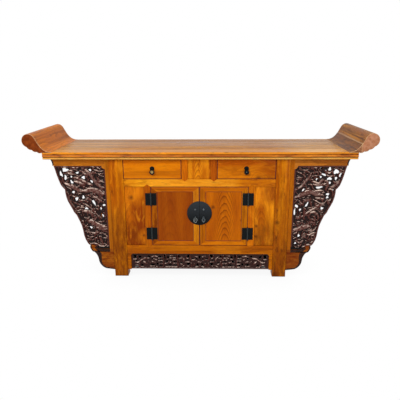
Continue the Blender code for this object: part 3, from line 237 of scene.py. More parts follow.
soft_lamp("main_lamp", (-1.5, -2.6, 2.7), (0, 0, 0.45), 1.5, 67)
soft_lamp("right_lamp", (2.2, -2.8, 1.7), (0, 0, 0.45), 2.0, 30)
soft_lamp("overhead_lamp", (0.5, -0.3, 3.2), (0, 0, 0.8), 2.6, 23)

# %% [markdown]
# Whatever the colour, a finish ends in the same way. Its gloss is uneven, duller where its pattern is
# light, and a fine relief breaks up the highlights. So one function closes every material of the furniture,
# with one shader.

# %% Surface
DARKEST, LIGHTEST = 0.3, 0.7  # values of a pattern between which the gloss changes


def close_material(tree, colour, pattern, gloss, spread, relief, sockets):
    """Ends a material. Its roughness grows from the gloss by the spread as the pattern gets lighter."""
    dull = {"Value": pattern, "From Min": DARKEST, "From Max": LIGHTEST}
    dull = add(tree, "MapRange", {**dull, "To Min": gloss, "To Max": gloss + spread})
    skin = {"Base Color": colour, "Roughness": dull, "Normal": relief, **sockets}
    add(tree, "OutputMaterial", {0: add(tree, "BsdfPrincipled", skin)})


print("gloss follows a pattern from", DARKEST, "to", LIGHTEST)

# %% [markdown]
# Elm under amber lacquer is the main finish. Elm shows broad figure: dark lines where each year's growth
# ends, arched where the board was sawn flat. The lines are the fractional part of a slowly bent distance:
# it rises gently and drops at once, as late wood does. In an arch the square of the way from its middle is
# added, so each line falls off to both sides. A knot adds a hump, so the lines run round the knot. A wave
# texture would be quicker, but its lines have no knots or arches.

# %% Growth lines
GRAIN = {"X": "XYZ", "Y": "YXZ", "Z": "ZXY"}  # along, across and through the board
ARCH_BEND, PLAIN_BEND = 2.2, 5.0  # years by which the clouds of tone bend a line
KNOT_YEARS = 3.0  # the hump of a knot
CORE_WIDTH, CORE_SHARE = 0.42, 0.85  # shares of a knot that its dark core takes up and covers


def drawn_noise(tree, board, place, scale, **sockets):
    """Noise that is drawn out along the grain, in patches per metre along, across and through."""
    drawn = add(tree, "Mapping", {0: board, "Location": place, "Scale": scale})
    return add(tree, "TexNoise", {"Vector": drawn, "Scale": 1.0, **sockets})


def growth_lines(tree, where, length, across, cloud, ring, arch, knots):
    """The share of its year at each point, the square of its way from an arch's middle, and knot cores."""
    climb, bow, years = across, None, PLAIN_BEND
    if arch:
        middle, ring, steep = arch
        years = ARCH_BEND
        off = add(tree, "Math", {0: across, 1: middle}, operation="SUBTRACT")
        bow = add(tree, "Math", {0: off, 1: off}, operation="MULTIPLY")
        climb = add(tree, "Math", {0: bow, 1: steep, 2: length}, operation="MULTIPLY_ADD")
    bend = add(tree, "Math", {0: cloud, 1: years}, operation="MULTIPLY")
    phase = add(tree, "Math", {0: climb, 1: 1000 / ring, 2: bend}, operation="MULTIPLY_ADD")
    cores = []
    for place, width in knots:
        away = add(tree, "VectorMath", {0: where, 1: place}, operation="DISTANCE").outputs["Value"]
        round_knot = {"Value": away, "From Max": width, "To Min": KNOT_YEARS, "To Max": 0.0}
        hump = add(tree, "MapRange", round_knot, interpolation_type="SMOOTHSTEP")
        phase = add(tree, "Math", {0: phase, 1: hump}, operation="ADD")
        dark = {"Value": away, "From Max": width * CORE_WIDTH, "To Min": CORE_SHARE, "To Max": 0.0}
        cores.append(add(tree, "MapRange", dark))
    year = add(tree, "Math", {0: phase}, operation="FRACT")
    return year, bow, cores


print("grain axes", sorted(GRAIN))

# %% [markdown]
# Age lies over the growth lines. Stain and polish have darkened some zones of a board and wear has bleached
# others, and some zones are painted light and shade: on the moulded edge, the middle rail and the feet. They
# are bands across a board, or round clouds. Each zone covers its share unevenly, so that no zone has a ruled
# edge. End grain drinks more stain than a face. A glued top shows its planks, each a little darker or
# lighter, and the seams between.

# %% Signs of age and painted light
UNEVEN_LEAST, UNEVEN_MORE = 0.6, 1.7  # how a zone's share varies with the noise of wear
BAND_EDGE = 0.0004  # metres
CLOUD_CORE = 0.4  # share of a cloud's reach that has its full colour
SEAM = 4.0  # millimetres
SEAM_TONE, PLANK_SHARE = "#4E2A14", 0.6


def tone_and_light_zones(tree, where, axes, wear, bands, clouds):
    """Layers of colour for bands along an axis, in millimetres, and for round clouds, in metres."""
    zones = []
    for axis, low, high, code, share, *fade in bands:
        middle, half = (low + high) / 2000, (high - low) / 2000
        off = add(tree, "Math", {0: axes.outputs[axis], 1: middle}, operation="SUBTRACT")
        off = add(tree, "Math", {0: off}, operation="ABSOLUTE")
        edge = half + (fade[0] / 1000 if fade else BAND_EDGE)
        zones.append(({"Value": off, "From Min": edge, "From Max": half}, code, share))
    for place, reach, code, share in clouds:
        away = add(tree, "VectorMath", {0: where, 1: place}, operation="DISTANCE").outputs["Value"]
        zones.append(({"Value": away, "From Min": reach, "From Max": CLOUD_CORE * reach}, code, share))
    uneven = add(tree, "MapRange", {"Value": wear, "From Min": 0.36, "From Max": 0.60})
    layers = []
    for zone, code, share in zones:
        inside = add(tree, "MapRange", zone)
        part = {0: uneven, 1: UNEVEN_MORE * share, 2: UNEVEN_LEAST * share}
        part = add(tree, "Math", part, operation="MULTIPLY_ADD")
        part = add(tree, "Math", {0: part, 1: inside}, operation="MULTIPLY")
        layers.append((part, linear(code)))
    return layers


def end_grain(tree, where, tones):
    """A layer of mottled end grain, on the faces that look forward or back."""
    facing = add(tree, "SeparateXYZ", {0: add(tree, "NewGeometry").outputs["Normal"]}).outputs["Y"]
    flat = add(tree, "Math", {0: facing, 1: facing}, operation="MULTIPLY")
    end = add(tree, "MapRange", {"Value": flat, "From Min": 0.6, "From Max": 0.9})
    # The mottle of end grain is about 22 mm wide.
    blotch = add(tree, "TexNoise", {"Vector": where, "Scale": 45.0, "Detail": 3.0})
    blotch = add(tree, "MapRange", {"Value": blotch, "From Min": 0.35, "From Max": 0.65})
    dark, light = (linear(tone) for tone in tones)
    return end, add(tree, "Mix", {0: blotch, 6: dark, 7: light}, data_type="RGBA").outputs[2]


def plank_seams(tree, across, brown, width):
    """Layers of colour for planks of that width in millimetres and for the seams between them."""
    count = add(tree, "Math", {0: across, 1: 1000 / width}, operation="MULTIPLY")
    plank = add(tree, "Math", {0: count}, operation="FLOOR")
    own = add(tree, "TexWhiteNoise", {"W": plank}, noise_dimensions="1D").outputs["Value"]
    own = add(tree, "Math", {0: own, 1: PLANK_SHARE}, operation="MULTIPLY")
    in_plank = add(tree, "Math", {0: count}, operation="FRACT")
    seam = {"Value": in_plank, "From Max": SEAM / width, "To Min": 0.8, "To Max": 0.0}
    return [(own, brown), (add(tree, "MapRange", seam), linear(SEAM_TONE))]


print("seams", SEAM, "mm wide")

# %% [markdown]
# One function makes the elm of a board. The grain direction, the three tones, arches and knots differ from
# board to board, because neighbouring boards never match. Colour is built up as a finisher does it: the
# amber of the wood, then layer on layer of cloud, streak, the flame with its painted gold sheen, line, pore,
# stain, and a darkening of the corners, each with the share that it covers. A ring is the width of a year
# in millimetres. An arch is its middle in metres, a ring of its own and its steepness. A knot is a place and
# a width, a cloud a place, a reach, a colour and a share. A band is an axis, its two ends in millimetres, a
# colour, a share and perhaps a fade.

# %% Elm
FLAME_SHEEN_TONE, SPOT, KNOT, CORNER_DARK = "#FF9F18", "#3A1806", "#4A2206", "#3A1604"
PORE_SHARE, LINE_RELIEF, GLOSS_SPREAD = 0.45, 0.35, 0.16
LACQUER = {"IOR": 1.48, "Specular IOR Level": 0.05, "Coat Weight": 0.02, "Coat Roughness": 0.12}


def elm(name, along, tones, shift=0.0, ring=16, arch=None, knots=(), bands=(), clouds=(), planks=0,
        end_tones=None, gloss=0.3, lines=0.42, crisp=3.0, streaks=0.5, soft=0.11, stains=0.3, flame_sheen=0.0):
    """Lacquered elm: a deep gloss over growth lines, pores and cloudy amber. The shift tells boards apart."""
    finish, tree = start_material(name)
    pale, amber, brown = (linear(tone) for tone in tones)
    where = add(tree, "TexCoord").outputs["Object"]
    axes = add(tree, "SeparateXYZ", {0: where})
    length, across, through = (axes.outputs[axis] for axis in GRAIN[along])
    board = add(tree, "CombineXYZ", {"X": length, "Y": across, "Z": through})
    # Clouds of tone are about 400 mm long and 60 mm wide.
    cloud = drawn_noise(tree, board, (shift, shift, 0), (2.5, 16, 16), Detail=4.0)
    tone = add(tree, "MapRange", {"Value": cloud, "From Min": 0.51 - soft, "From Max": 0.51 + soft})
    # Streaks of darker polish run far along the board, about 16 mm apart.
    streak = drawn_noise(tree, board, (shift, 3 * shift, 0), (1.8, 62, 62), Detail=3.0)
    streak = {"Value": streak, "From Min": 0.46, "From Max": 0.70, "To Max": streaks}
    layers = [(tone, pale), (add(tree, "MapRange", streak), brown)]
    if flame_sheen:
        # The flame of a curly board is in licks about 100 mm long; its shimmer is painted as a gold sheen.
        silk_sheen = drawn_noise(tree, board, (shift, 7 * shift, 0), (9, 25, 25), Detail=3.0, Distortion=0.9)
        silk_sheen = {"Value": silk_sheen, "From Min": 0.5, "From Max": 0.66, "To Max": flame_sheen}
        layers.append((add(tree, "MapRange", silk_sheen), linear(FLAME_SHEEN_TONE)))

    year, bow, cores = growth_lines(tree, where, length, across, cloud, ring, arch, knots)
    late = add(tree, "Math", {0: year, 1: crisp}, operation="POWER")
    if arch:
        # An arched figure is clear near its middle line and fades towards the edges of the board.
        fading = {"Value": bow, "From Max": 0.006, "To Min": lines, "To Max": lines * 0.2}
        lines = add(tree, "MapRange", fading)
    layers.append((add(tree, "Math", {0: late, 1: lines}, operation="MULTIPLY"), brown))
    # Real pores are a third of a millimetre wide. They are drawn at 2 mm, or they would not show.
    pores = drawn_noise(tree, board, (shift, shift, 0), (24, 480, 480), Detail=2.0)
    pores = add(tree, "MapRange", {"Value": pores, "From Min": 0.52, "From Max": 0.74})
    layers.append((add(tree, "Math", {0: pores, 1: PORE_SHARE}, operation="MULTIPLY"), brown))

    if end_tones:
        layers.append(end_grain(tree, where, end_tones))
    # Old stains and dents are blotches about 90 mm long and 25 mm wide.
    wear = drawn_noise(tree, board, (5 * shift, shift, 0), (11, 38, 38), Detail=6.0, Roughness=0.7)
    layers += tone_and_light_zones(tree, where, axes, wear, bands, clouds)
    spots = {"Value": wear, "From Min": 0.56, "From Max": 0.74, "To Max": stains}
    layers.append((add(tree, "MapRange", spots), linear(SPOT)))
    layers += [(core, linear(KNOT)) for core in cores]
    if planks:
        layers += plank_seams(tree, across, brown, planks)
    # The corners are darkened where ambient occlusion finds them.
    corner = add(tree, "AmbientOcclusion", {"Distance": 0.014}, samples=8).outputs["AO"]
    corner_darkening = {"Value": corner, "From Min": 0.3, "From Max": 0.85, "To Min": 0.6, "To Max": 0.0}
    layers.append((add(tree, "MapRange", corner_darkening), linear(CORNER_DARK)))
    colour = amber
    for share, tint in layers:
        colour = add(tree, "Mix", {0: share, 6: colour, 7: tint}, data_type="RGBA").outputs[2]

    sunk = add(tree, "Math", {0: late, 1: LINE_RELIEF, 2: pores}, operation="MULTIPLY_ADD")
    relief = add(tree, "Bump", {"Strength": 0.22, "Distance": 0.0006, "Height": sunk}, invert=True)
    close_material(tree, colour, cloud, gloss, GLOSS_SPREAD, relief, LACQUER)
    return finish


print("tints over elm", FLAME_SHEEN_TONE, SPOT, KNOT, CORNER_DARK)

# %% [markdown]
# Rails and legs come first. The middle rail is the brightest, and the paler band across its middle is a
# painted highlight. The legs are amber above and darker brown towards the bottom, the left one higher up
# than the right.

# %% Rails and legs
elm_rail = elm(
    "lacquered_elm_rail", "X", ("#F09F17", "#DA7E05", "#934802"), 1.3, 20, lines=0.35, stains=0.75,
    flame_sheen=0.55, bands=(
        # The pale band across the middle of the rail is a painted highlight.
        ("X", -290, 200, "#FFAE2E", 0.22, 50), ("X", 270, 470, "#AA5206", 0.30, 30),
        ("X", -470, -400, "#C86E06", 0.35, 40),
    ),
)
elm_low_rail = elm(
    "lacquered_elm_low_rail", "X", ("#CA7202", "#AF5901", "#743301"), 5.1, 18,
    bands=(("X", -290, -150, "#864404", 0.13, 40), ("X", 110, 250, "#E08814", 0.17, 40)),
)
LEG_BANDS = {
    "left": (("Z", -50, 320, "#874302", 0.55, 200),),
    "right": (
        ("Z", 0, 520, "#8A4406", 0.2, 60), ("Z", -50, 90, "#793A02", 0.46, 200),
        ("X", 460, 560, "#6E2400", 0.08),
    ),
}
elm_leg = {
    side: elm(
        "lacquered_elm_leg_" + side, "Z", ("#EA9005", "#B45A01", "#7B3601"), 2.1, 22, bands=bands, lines=0.35,
        soft=0.1, streaks=0.6, stains=0.95, flame_sheen=0.3, knots=(((0.484, -0.24, 0.37), 0.05),),
    )
    for side, bands in LEG_BANDS.items()
}
print("elm for", elm_rail.name, elm_low_rail.name, "and", len(elm_leg), "kinds of leg")

# %% [markdown]
# The panels carry the figure. The right door has a tall arch of growth lines up its middle, the fixed panel
# beside it has arches and two knots, and the small panel between the drawers is the brightest board. The
# left door is plain and deep in tone.

# %% Figured panels
elm_bay = elm(
    "lacquered_elm_bay_panel", "Z", ("#F09410", "#BE5F02", "#7C3701"), 0.4, arch=(-0.008, 34, 90), lines=0.75,
    streaks=0.15, flame_sheen=0.5, bands=(("X", 58, 82, "#A64C03", 0.62),),
)
elm_door_panel = {
    "left": elm(
        "lacquered_elm_door_left", "Z", ("#A75203", "#8B3901", "#542000"), 9.6, arch=(-0.19, 64, 40),
        lines=0.25, crisp=4.0, streaks=0.1, soft=0.24, stains=0.15,
    ),
    "right": elm(
        "lacquered_elm_door_right", "Z", ("#CE6E03", "#AE5301", "#5F2701"), 5.5, arch=(0.158, 42, 46),
        lines=0.95, crisp=4.0, streaks=0.1, soft=0.18, stains=0.2,
        knots=(((0.084, -0.239, 0.470), 0.042), ((0.262, -0.24, 0.385), 0.03)),
    ),
}
elm_front_panel = {
    "left": elm(
        "lacquered_elm_front_left", "Z", ("#BE6103", "#8C3901", "#582001"), 1.9, arch=(-0.43, 56, 60),
        lines=0.35, streaks=0.2, flame_sheen=0.4,
        knots=(((-0.425, -0.234, 0.53), 0.05), ((-0.355, -0.234, 0.28), 0.03)),
        clouds=(
            ((-0.425, -0.234, 0.575), 0.12, "#EC860A", 0.30), ((-0.445, -0.234, 0.27), 0.12, "#7C3401", 0.52),
            ((-0.335, -0.234, 0.27), 0.07, "#CC7208", 0.42),
        ),
    ),
    "right": elm(
        "lacquered_elm_front_right", "Z", ("#E88C0C", "#AD5201", "#642901"), 3.1, arch=(0.385, 40, 52),
        lines=0.45, streaks=0.2, flame_sheen=0.45,
        knots=(((0.356, -0.234, 0.345), 0.035), ((0.354, -0.234, 0.275), 0.035)),
        clouds=(
            ((0.365, -0.234, 0.555), 0.10, "#FA9614", 0.32), ((0.462, -0.234, 0.555), 0.085, "#9A4B06", 0.55),
            ((0.41, -0.234, 0.26), 0.15, "#904C04", 0.42),
        ),
    ),
}
print("figured panels", 1 + len(elm_door_panel) + len(elm_front_panel))

# %% [markdown]
# Drawer fronts, dividers, hinge posts and door members are plain straight boards, each of its own tone. The
# left door is the darker one, and its hinge stile the darkest part of it.

# %% Drawers, posts and door members
elm_drawer = {
    "left": elm(
        "lacquered_elm_drawer_left", "X", ("#E28204", "#CB6801", "#873E00"), 3.7, 26, lines=0.3,
        bands=(("X", -240, -110, "#EE9008", 0.09, 40),),
    ),
    "right": elm(
        "lacquered_elm_drawer_right", "X", ("#D47605", "#B65501", "#783300"), 8.3, 30, lines=0.3, flame_sheen=0.2,
        bands=(("X", 400, 470, "#6A3000", 0.14, 60),), knots=(((0.36, -0.24, 0.652), 0.06),),
    ),
}
elm_divider = {
    "left": elm("lacquered_elm_divider_left", "Z", ("#D36E02", "#B95901", "#753301"), 6.2, 12),
    "right": elm("lacquered_elm_divider_right", "Z", ("#B65603", "#A14702", "#662601"), 3.6, 12),
}
elm_post = {
    "left": elm("lacquered_elm_post_left", "Z", ("#C56E06", "#AF5301", "#722C01"), 4.4, 15, stains=0.5),
    "right": elm(
        "lacquered_elm_post_right", "Z", ("#E18306", "#C86402", "#833601"), 5.4, 15, flame_sheen=0.25,
        bands=(("Z", 150, 217, "#8A4406", 0.35),),
    ),
}
elm_stile = elm(
    "lacquered_elm_stile", "Z", ("#CE7A02", "#AD5801", "#6D3101"), 7.7, 12, stains=0.45,
    bands=(("X", -302, -240, "#6E2400", 0.36), ("X", -60, 0, "#E89A20", 0.12)),
)
elm_door_rail = elm("lacquered_elm_door_rail", "X", ("#D87902", "#BA5C01", "#753001"), 2.9, 11)
print("straight boards", len(elm_drawer) + len(elm_divider) + len(elm_post) + 2)

# %% [markdown]
# The top has been wiped and worn for longer than the front, so it is greyer and less red, with the seams of
# its planks showing. Its moulded front edge keeps the amber, with light and shade painted along the profile:
# a bright band and a golden bead below are painted highlights, two dark lines are painted shade in its
# grooves, and a streaked band lies between. The scrolled flanges have their grain across the piece, and
# show end grain in front.

# %% Top
# Bands along the profile paint its light and shade: highlights on the upper band and the bead, shade in the
# two dark lines.
MOULDING_TONE_AND_LIGHT = (
    ("Z", 812, 821, "#E8942A", 0.35), ("Z", 802.5, 807.5, "#6E2C16", 0.42),
    ("Z", 792.5, 802.5, "#A6562C", 0.28), ("Z", 788, 792.5, "#6A2A16", 0.4), ("Z", 774, 788, "#E5B25A", 0.42),
)
elm_edge = elm(
    "worn_elm_top_edge", "X", ("#F79B23", "#DD7C11", "#974908"), 0.9, 17, bands=MOULDING_TONE_AND_LIGHT, gloss=0.26,
    streaks=1.0, stains=0.8,
)
elm_top = elm(
    "worn_elm_top", "X", ("#DC962F", "#C57D21", "#824A0F"), 2.6, 22, planks=62, gloss=0.24, lines=0.75,
    streaks=1.0, soft=0.08, stains=0.8,
    bands=(("X", -900, -640, "#F4CE96", 0.11, 200), ("X", 640, 900, "#F4CE96", 0.13, 200)),
)
elm_top_front = elm(
    "worn_elm_top_front", "X", ("#DE9638", "#C77C28", "#854B13"), 6.6, 26, gloss=0.24, lines=0.4,
    streaks=0.35, stains=0.4,
    bands=(("X", 620, 800, "#FFD08C", 0.24, 120), ("X", -800, -640, "#F4C890", 0.08, 160)),
)
elm_flange = {
    "left": elm(
        "worn_elm_flange_left", "Y", ("#DC7F1E", "#C26914", "#7F4009"), 4.1, 24, stains=0.7,
        end_tones=("#893F13", "#6A2C0B"),
    ),
    "right": elm(
        "worn_elm_flange_right", "Y", ("#BC7A2A", "#925319", "#4E280A"), 7.4, 24, streaks=0.9, stains=0.9,
        end_tones=("#BC8364", "#A86B47"),
        bands=(("X", 860, 958, "#5E3A20", 0.3), ("X", 957, 961, "#C8A078", 0.35)),
    ),
}
print("top finishes", elm_top.name, elm_edge.name)

# %% [markdown]
# The frames round the carvings are browner than the front, and their feet darker and redder, a painted
# shade low down. Their upright strips have the grain of uprights. The sides were never polished as often,
# and the inside has no lacquer at all: bare elm is pale, dry and dull.

# %% Frames, sides and inside
# The dark band low on each frame is painted shade over the foot.
elm_frame = {
    "left": elm(
        "lacquered_elm_spandrel_left", "X", ("#D9841E", "#B96812", "#773A08"), 3.3, 15, stains=0.4,
        bands=(("Z", 40, 215, "#661C00", 0.36),),
    ),
    "right": elm(
        "lacquered_elm_spandrel_right", "X", ("#BF7222", "#A35A18", "#68330A"), 6.3, 15, stains=0.5,
        bands=(("Z", 40, 215, "#6A2000", 0.38),),
    ),
}
elm_strip = elm(
    "lacquered_elm_strip", "Z", ("#C8760E", "#B05F06", "#6E3303"), 8.8, 14, lines=0.3, streaks=0.3,
    stains=0.5, bands=(("X", 540, 590, "#6E2000", 0.09),),
)
elm_side = elm("lacquered_elm_side", "Z", ("#B86A14", "#9A5208", "#602C04"), 5.9, 24)
elm_inside = elm("bare_elm_inside", "X", ("#BC8A54", "#A8743E", "#7A5028"), 1.1, 22, gloss=0.5)
print("frames", len(elm_frame), "and", elm_strip.name, elm_side.name, elm_inside.name)

# %% [markdown]
# The smaller finishes share one recipe, a mottle of two tones. Stain, sheet iron and cast brass are all
# mottled by hand work. What tells them apart for the eye is the size of the mottle, the gloss, and whether
# the colour sits in the reflection, as it does on metal.

# %% Stain, iron and brass
SHEEN_WANDER, MOTTLE_SPREAD = 0.04, 0.18


def mottled_finish(name, dark, light, grit, gloss, metallic=0.0, shine=0.3, sheen_above=None):
    """A mottled finish. The grit is the size of the mottle in millimetres. It may take a painted sheen that
    grows upwards.
    """
    finish, tree = start_material(name)
    where = add(tree, "TexCoord").outputs["Object"]
    mottle = {"Vector": where, "Scale": 1000 / grit, "Detail": 5.0, "Roughness": 0.62}
    mottle = add(tree, "TexNoise", mottle)
    share = add(tree, "MapRange", {"Value": mottle, "From Min": 0.34, "From Max": 0.68})
    colour = add(tree, "Mix", {0: share, 6: linear(dark), 7: linear(light)}, data_type="RGBA").outputs[2]
    # A painted sheen lightens the finish above a height.
    if sheen_above:
        low, high, code = sheen_above
        height = add(tree, "SeparateXYZ", {0: where}).outputs["Z"]
        height = add(tree, "Math", {0: mottle, 1: SHEEN_WANDER, 2: height}, operation="MULTIPLY_ADD")
        upper_sheen = add(tree, "MapRange", {"Value": height, "From Min": low, "From Max": high})
        colour = add(tree, "Mix", {0: upper_sheen, 6: colour, 7: linear(code)}, data_type="RGBA").outputs[2]
    relief = add(tree, "Bump", {"Strength": 0.35, "Distance": 0.0003, "Height": mottle})
    kind = {"Metallic": metallic, "Specular IOR Level": shine}
    close_material(tree, colour, mottle, gloss, MOTTLE_SPREAD, relief, kind)
    return finish


# Stain soaks in and stays dull: maroon in the joints, nearly black on the free edges, where the black also
# paints shade.
maroon_stain = mottled_finish("maroon_joint_stain", "#45161D", "#752F38", 9, 0.45, shine=0.1)
dark_stain_and_shade = mottled_finish("dark_edge_stain_and_shade", "#160905", "#3A1C10", 12, 0.4, shine=0.15)
# A corner that hands have worn through shows pale wood; on the flanges the pale arris is also a painted
# highlight along the edge.
pale_arris_highlight = mottled_finish("worn_pale_arris_highlight", "#9C6A40", "#DDB684", 9, 0.4)
# Iron blackened with oil and heat hardly shines. The lock plate is polished, and lighter grey above, a
# painted sheen.
black_iron = mottled_finish("blackened_iron", "#060809", "#101416", 6, 0.42, shine=0.09)
plate_iron = mottled_finish(
    "polished_black_iron", "#08090A", "#121517", 9, 0.3, shine=0.1, sheen_above=(0.40, 0.56, "#31363B")
)
# Where it is rubbed, the black goes and the metal shines through, the more the brighter. These lighter irons
# also paint highlights: on the bosses, the pendant rims, the hinge barrels and one pull.
worn_iron_highlight = mottled_finish("worn_iron_highlight", "#14181A", "#343A3B", 5, 0.36, metallic=0.4)
grey_iron = mottled_finish("grey_iron", "#32383B", "#666D72", 5, 0.32, metallic=0.4)
bright_iron = mottled_finish("rubbed_iron_highlight", "#565C5E", "#A4A9A8", 4, 0.3, metallic=0.5)
# One pull has lost its black and shows dull yellow brass.
dull_brass = mottled_finish("dull_brass", "#6A5630", "#C2A468", 4, 0.32, metallic=0.85)
print("kinds of iron", [iron.name for iron in (black_iron, plate_iron, worn_iron_highlight, grey_iron, bright_iron)])

# %% [markdown]
# The carved boards need a finish of their own. The ground is near black and gets darker the deeper a point
# lies, and the boughs are reddish brown. Hands and dusters have rubbed the crests to a dull pinkish beige,
# and the upper sides are painted the same beige as a highlight from the light above. How far a point stands
# out, which is its depth along Y, and how far it faces up together say where the rubbing and the painted
# highlight fall. Ambient occlusion keeps the hollows black, and a black band at the lowest bead is painted
# shadow.

# %% Carved wood
GROUND_TO_BOUGH = {"From Min": -0.2240, "From Max": -0.2325}  # depth along Y, in metres
BOUGH_TO_CREST = {"From Min": -0.2335, "From Max": -0.2395}
# The black at the lowest bead is a painted shadow of the hollow above the foot.
SEAT_SHADOW_HEIGHT, SEAT_SHADOW_HALF = 0.192, 0.011  # the lowest bead sits in a black hollow above the foot
CREST_RUB, GLOSS, SPREAD = 0.12, 0.2, 0.2

carved_wood, tree = start_material("carved_wood_with_painted_light")
where = add(tree, "TexCoord").outputs["Object"]
# Wood fibres and tool marks are about 3 mm apart, and patches of wear and highlight 13 mm wide.
fibre = add(tree, "TexNoise", {"Vector": where, "Scale": 330.0, "Detail": 4.0, "Roughness": 0.6})
patch = add(tree, "TexNoise", {"Vector": where, "Scale": 75.0, "Detail": 2.0})
patch = add(tree, "MapRange", {"Value": patch, "From Min": 0.41, "From Max": 0.57})
place = add(tree, "SeparateXYZ", {0: where}).outputs
up = add(tree, "SeparateXYZ", {0: add(tree, "NewGeometry").outputs["Normal"]}).outputs["Z"]
proud = add(tree, "MapRange", {"Value": place["Y"], **GROUND_TO_BOUGH})
bough = add(tree, "Mix", {0: fibre, 6: linear("#391915"), 7: linear("#6A382F")}, data_type="RGBA").outputs[2]
# Faces that look up get a painted highlight, as if lit from above, on top of the rubbing of the crests.
upper = add(tree, "MapRange", {"Value": up, "From Min": 0.34, "From Max": 0.72})
crest = add(tree, "MapRange", {"Value": place["Y"], **BOUGH_TO_CREST})
rub_and_highlight = add(tree, "Math", {0: upper, 1: proud}, operation="MULTIPLY")
rub_and_highlight = add(tree, "Math", {0: crest, 1: CREST_RUB, 2: rub_and_highlight}, operation="MULTIPLY_ADD")
rub_and_highlight = add(tree, "Math", {0: rub_and_highlight, 1: patch}, operation="MULTIPLY", use_clamp=True)
hollow = add(tree, "AmbientOcclusion", {"Distance": 0.007}, samples=8).outputs["AO"]
hollow_darkening = {"Value": hollow, "From Min": 0.25, "From Max": 0.78, "To Min": 0.8, "To Max": 0.0}
hollow_darkening = add(tree, "MapRange", hollow_darkening)
# A black band at this height is painted shadow under the carving.
seat_shadow = add(tree, "Math", {0: place["Z"], 1: SEAT_SHADOW_HEIGHT, 2: SEAT_SHADOW_HALF}, operation="COMPARE")
colour = linear("#200F0D")
layers = ((proud, bough), (rub_and_highlight, linear("#EAD0BF")), (hollow_darkening, linear("#0A0403")), (seat_shadow, linear("#0C0504")))
for share, tint in layers:
    colour = add(tree, "Mix", {0: share, 6: colour, 7: tint}, data_type="RGBA").outputs[2]
relief = add(tree, "Bump", {"Strength": 0.3, "Distance": 0.0004, "Height": fibre})
close_material(tree, colour, fibre, GLOSS, SPREAD, relief, {"Specular IOR Level": 0.14})
print("carved wood", len(tree.nodes), "nodes")

# %% [markdown]
# A new piece starts from a bmesh and ends as an object that rides on the body of the solid that it stands
# for. The solids are loose triangles, so a copy of one is merged first, and its flat faces are made whole.

# %% Making a piece
SIDES = {"left": -1, "right": 1}
MERGED = 2e-6  # metres
FLAT_ANGLE, SOFT_ANGLE = 0.6, 35  # degrees, below which faces are one and a surface is shaded smooth


def clean_copy(node):
    """A board's mesh with its triangles merged and its flat faces made whole."""
    bm = bmesh.new()
    bm.from_mesh(nodes[node].data)
    bmesh.ops.remove_doubles(bm, verts=bm.verts[:], dist=MERGED)
    bmesh.ops.dissolve_limit(bm, angle_limit=math.radians(FLAT_ANGLE), verts=bm.verts[:], edges=bm.edges[:])
    return bm


def add_piece(name, bm, finishes, body, sharp=SOFT_ANGLE):
    """Makes the mesh a piece of its own that rides on a body."""
    mesh = bpy.data.meshes.new(name)
    bm.to_mesh(mesh)
    bm.free()
    for finish in finishes:
        mesh.materials.append(finish)
    mesh.shade_smooth()
    mesh.set_sharp_from_angle(angle=math.radians(sharp))
    piece = bpy.data.objects.new(name, mesh)
    scene.collection.objects.link(piece)
    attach(piece, body)
    return piece


def dress(name, bm, finishes, node, sharp=SOFT_ANGLE):
    """Makes the mesh a piece that stands for a node and moves with its body."""
    piece = add_piece(name, bm, finishes, body_of(nodes[node])[0], sharp)
    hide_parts(node)
    return piece


print("pieces can be made for", len(nodes), "nodes")

# %% [markdown]
# Sharp edges are what most gives a digital board away: a plane takes the arris off by hand and leaves a
# rounding of a millimetre or two that catches the light. A Bevel modifier would also bevel every hidden
# tenon. Here only the long outer edges of a copy are bevelled, and the copy stands for the board, in the
# same place.

# %% Eased boards
CLEAR_ANGLE = math.radians(50)
NEAR = 0.001  # metres within which a point counts as on a plane


def long_edges(bm, shortest, before=math.inf):
    """Outer edges of at least that length in front of a depth, where two faces meet at a clear angle."""
    found = []
    for edge in bm.edges:
        if len(edge.link_faces) != 2 or not edge.is_convex or edge.calc_length() < shortest:
            continue
        if edge.calc_face_angle(0) > CLEAR_ANGLE and max(v.co.y for v in edge.verts) < before:
            found.append(edge)
    return found


def round_off(bm, edges, width, segments=2, clamp=False):
    """Bevels the edges and gives the new faces."""
    return bmesh.ops.bevel(
        bm, geom=edges, offset=width, offset_type="OFFSET", affect="EDGES", segments=segments, profile=0.5,
        material=-1, clamp_overlap=clamp,
    )["faces"]


def ease(node, finish, width=0.0012, shortest=0.04, before=math.inf, arris=None):
    """A copy of a board with its long edges eased, in the arris finish where one is given."""
    bm = clean_copy(node)
    edges = long_edges(bm, shortest, before)
    for face in round_off(bm, edges, width):
        face.material_index = 1 if arris else 0
    low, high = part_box(node)
    # A bevel may push a corner out a little, so the copy is held to the board's own box.
    for vert in bm.verts:
        vert.co = [min(max(c, a), b) for c, a, b in zip(vert.co, low, high)]
    dress("eased_" + node, bm, [finish, arris] if arris else [finish], node)
    return len(edges)


front_line = cad_box[0][1] + NEAR
eased = 0
for side in SIDES:
    eased += ease("leg_front_" + side, elm_leg[side], width=0.002)
    eased += ease("leg_back_" + side, elm_leg[side], width=0.002)
    eased += ease("drawer_divider_" + side, elm_divider[side])
    eased += ease("hinge_post_" + side, elm_post[side])
    eased += ease("drawer_front_" + side, elm_drawer[side], width=0.0032, arris=maroon_stain)
    eased += ease("apron_end_" + side, elm_low_rail)
    eased += ease(
        "top_flange_" + side, elm_flange[side], width=0.002, shortest=0.001, before=front_line,
        arris=pale_arris_highlight,
    )
eased += ease("front_mid_rail", elm_rail)
eased += ease("front_bottom_rail", elm_low_rail)
eased += ease("top_panel", elm_top, width=0.001)
print("eased edges", eased)

# %% [markdown]
# Boards that need no new edge keep their solids and only take a finish. The long boards of the top show
# their worn upper face and their moulded amber edge at once, so a copy of each takes two materials, by the
# way its faces look.

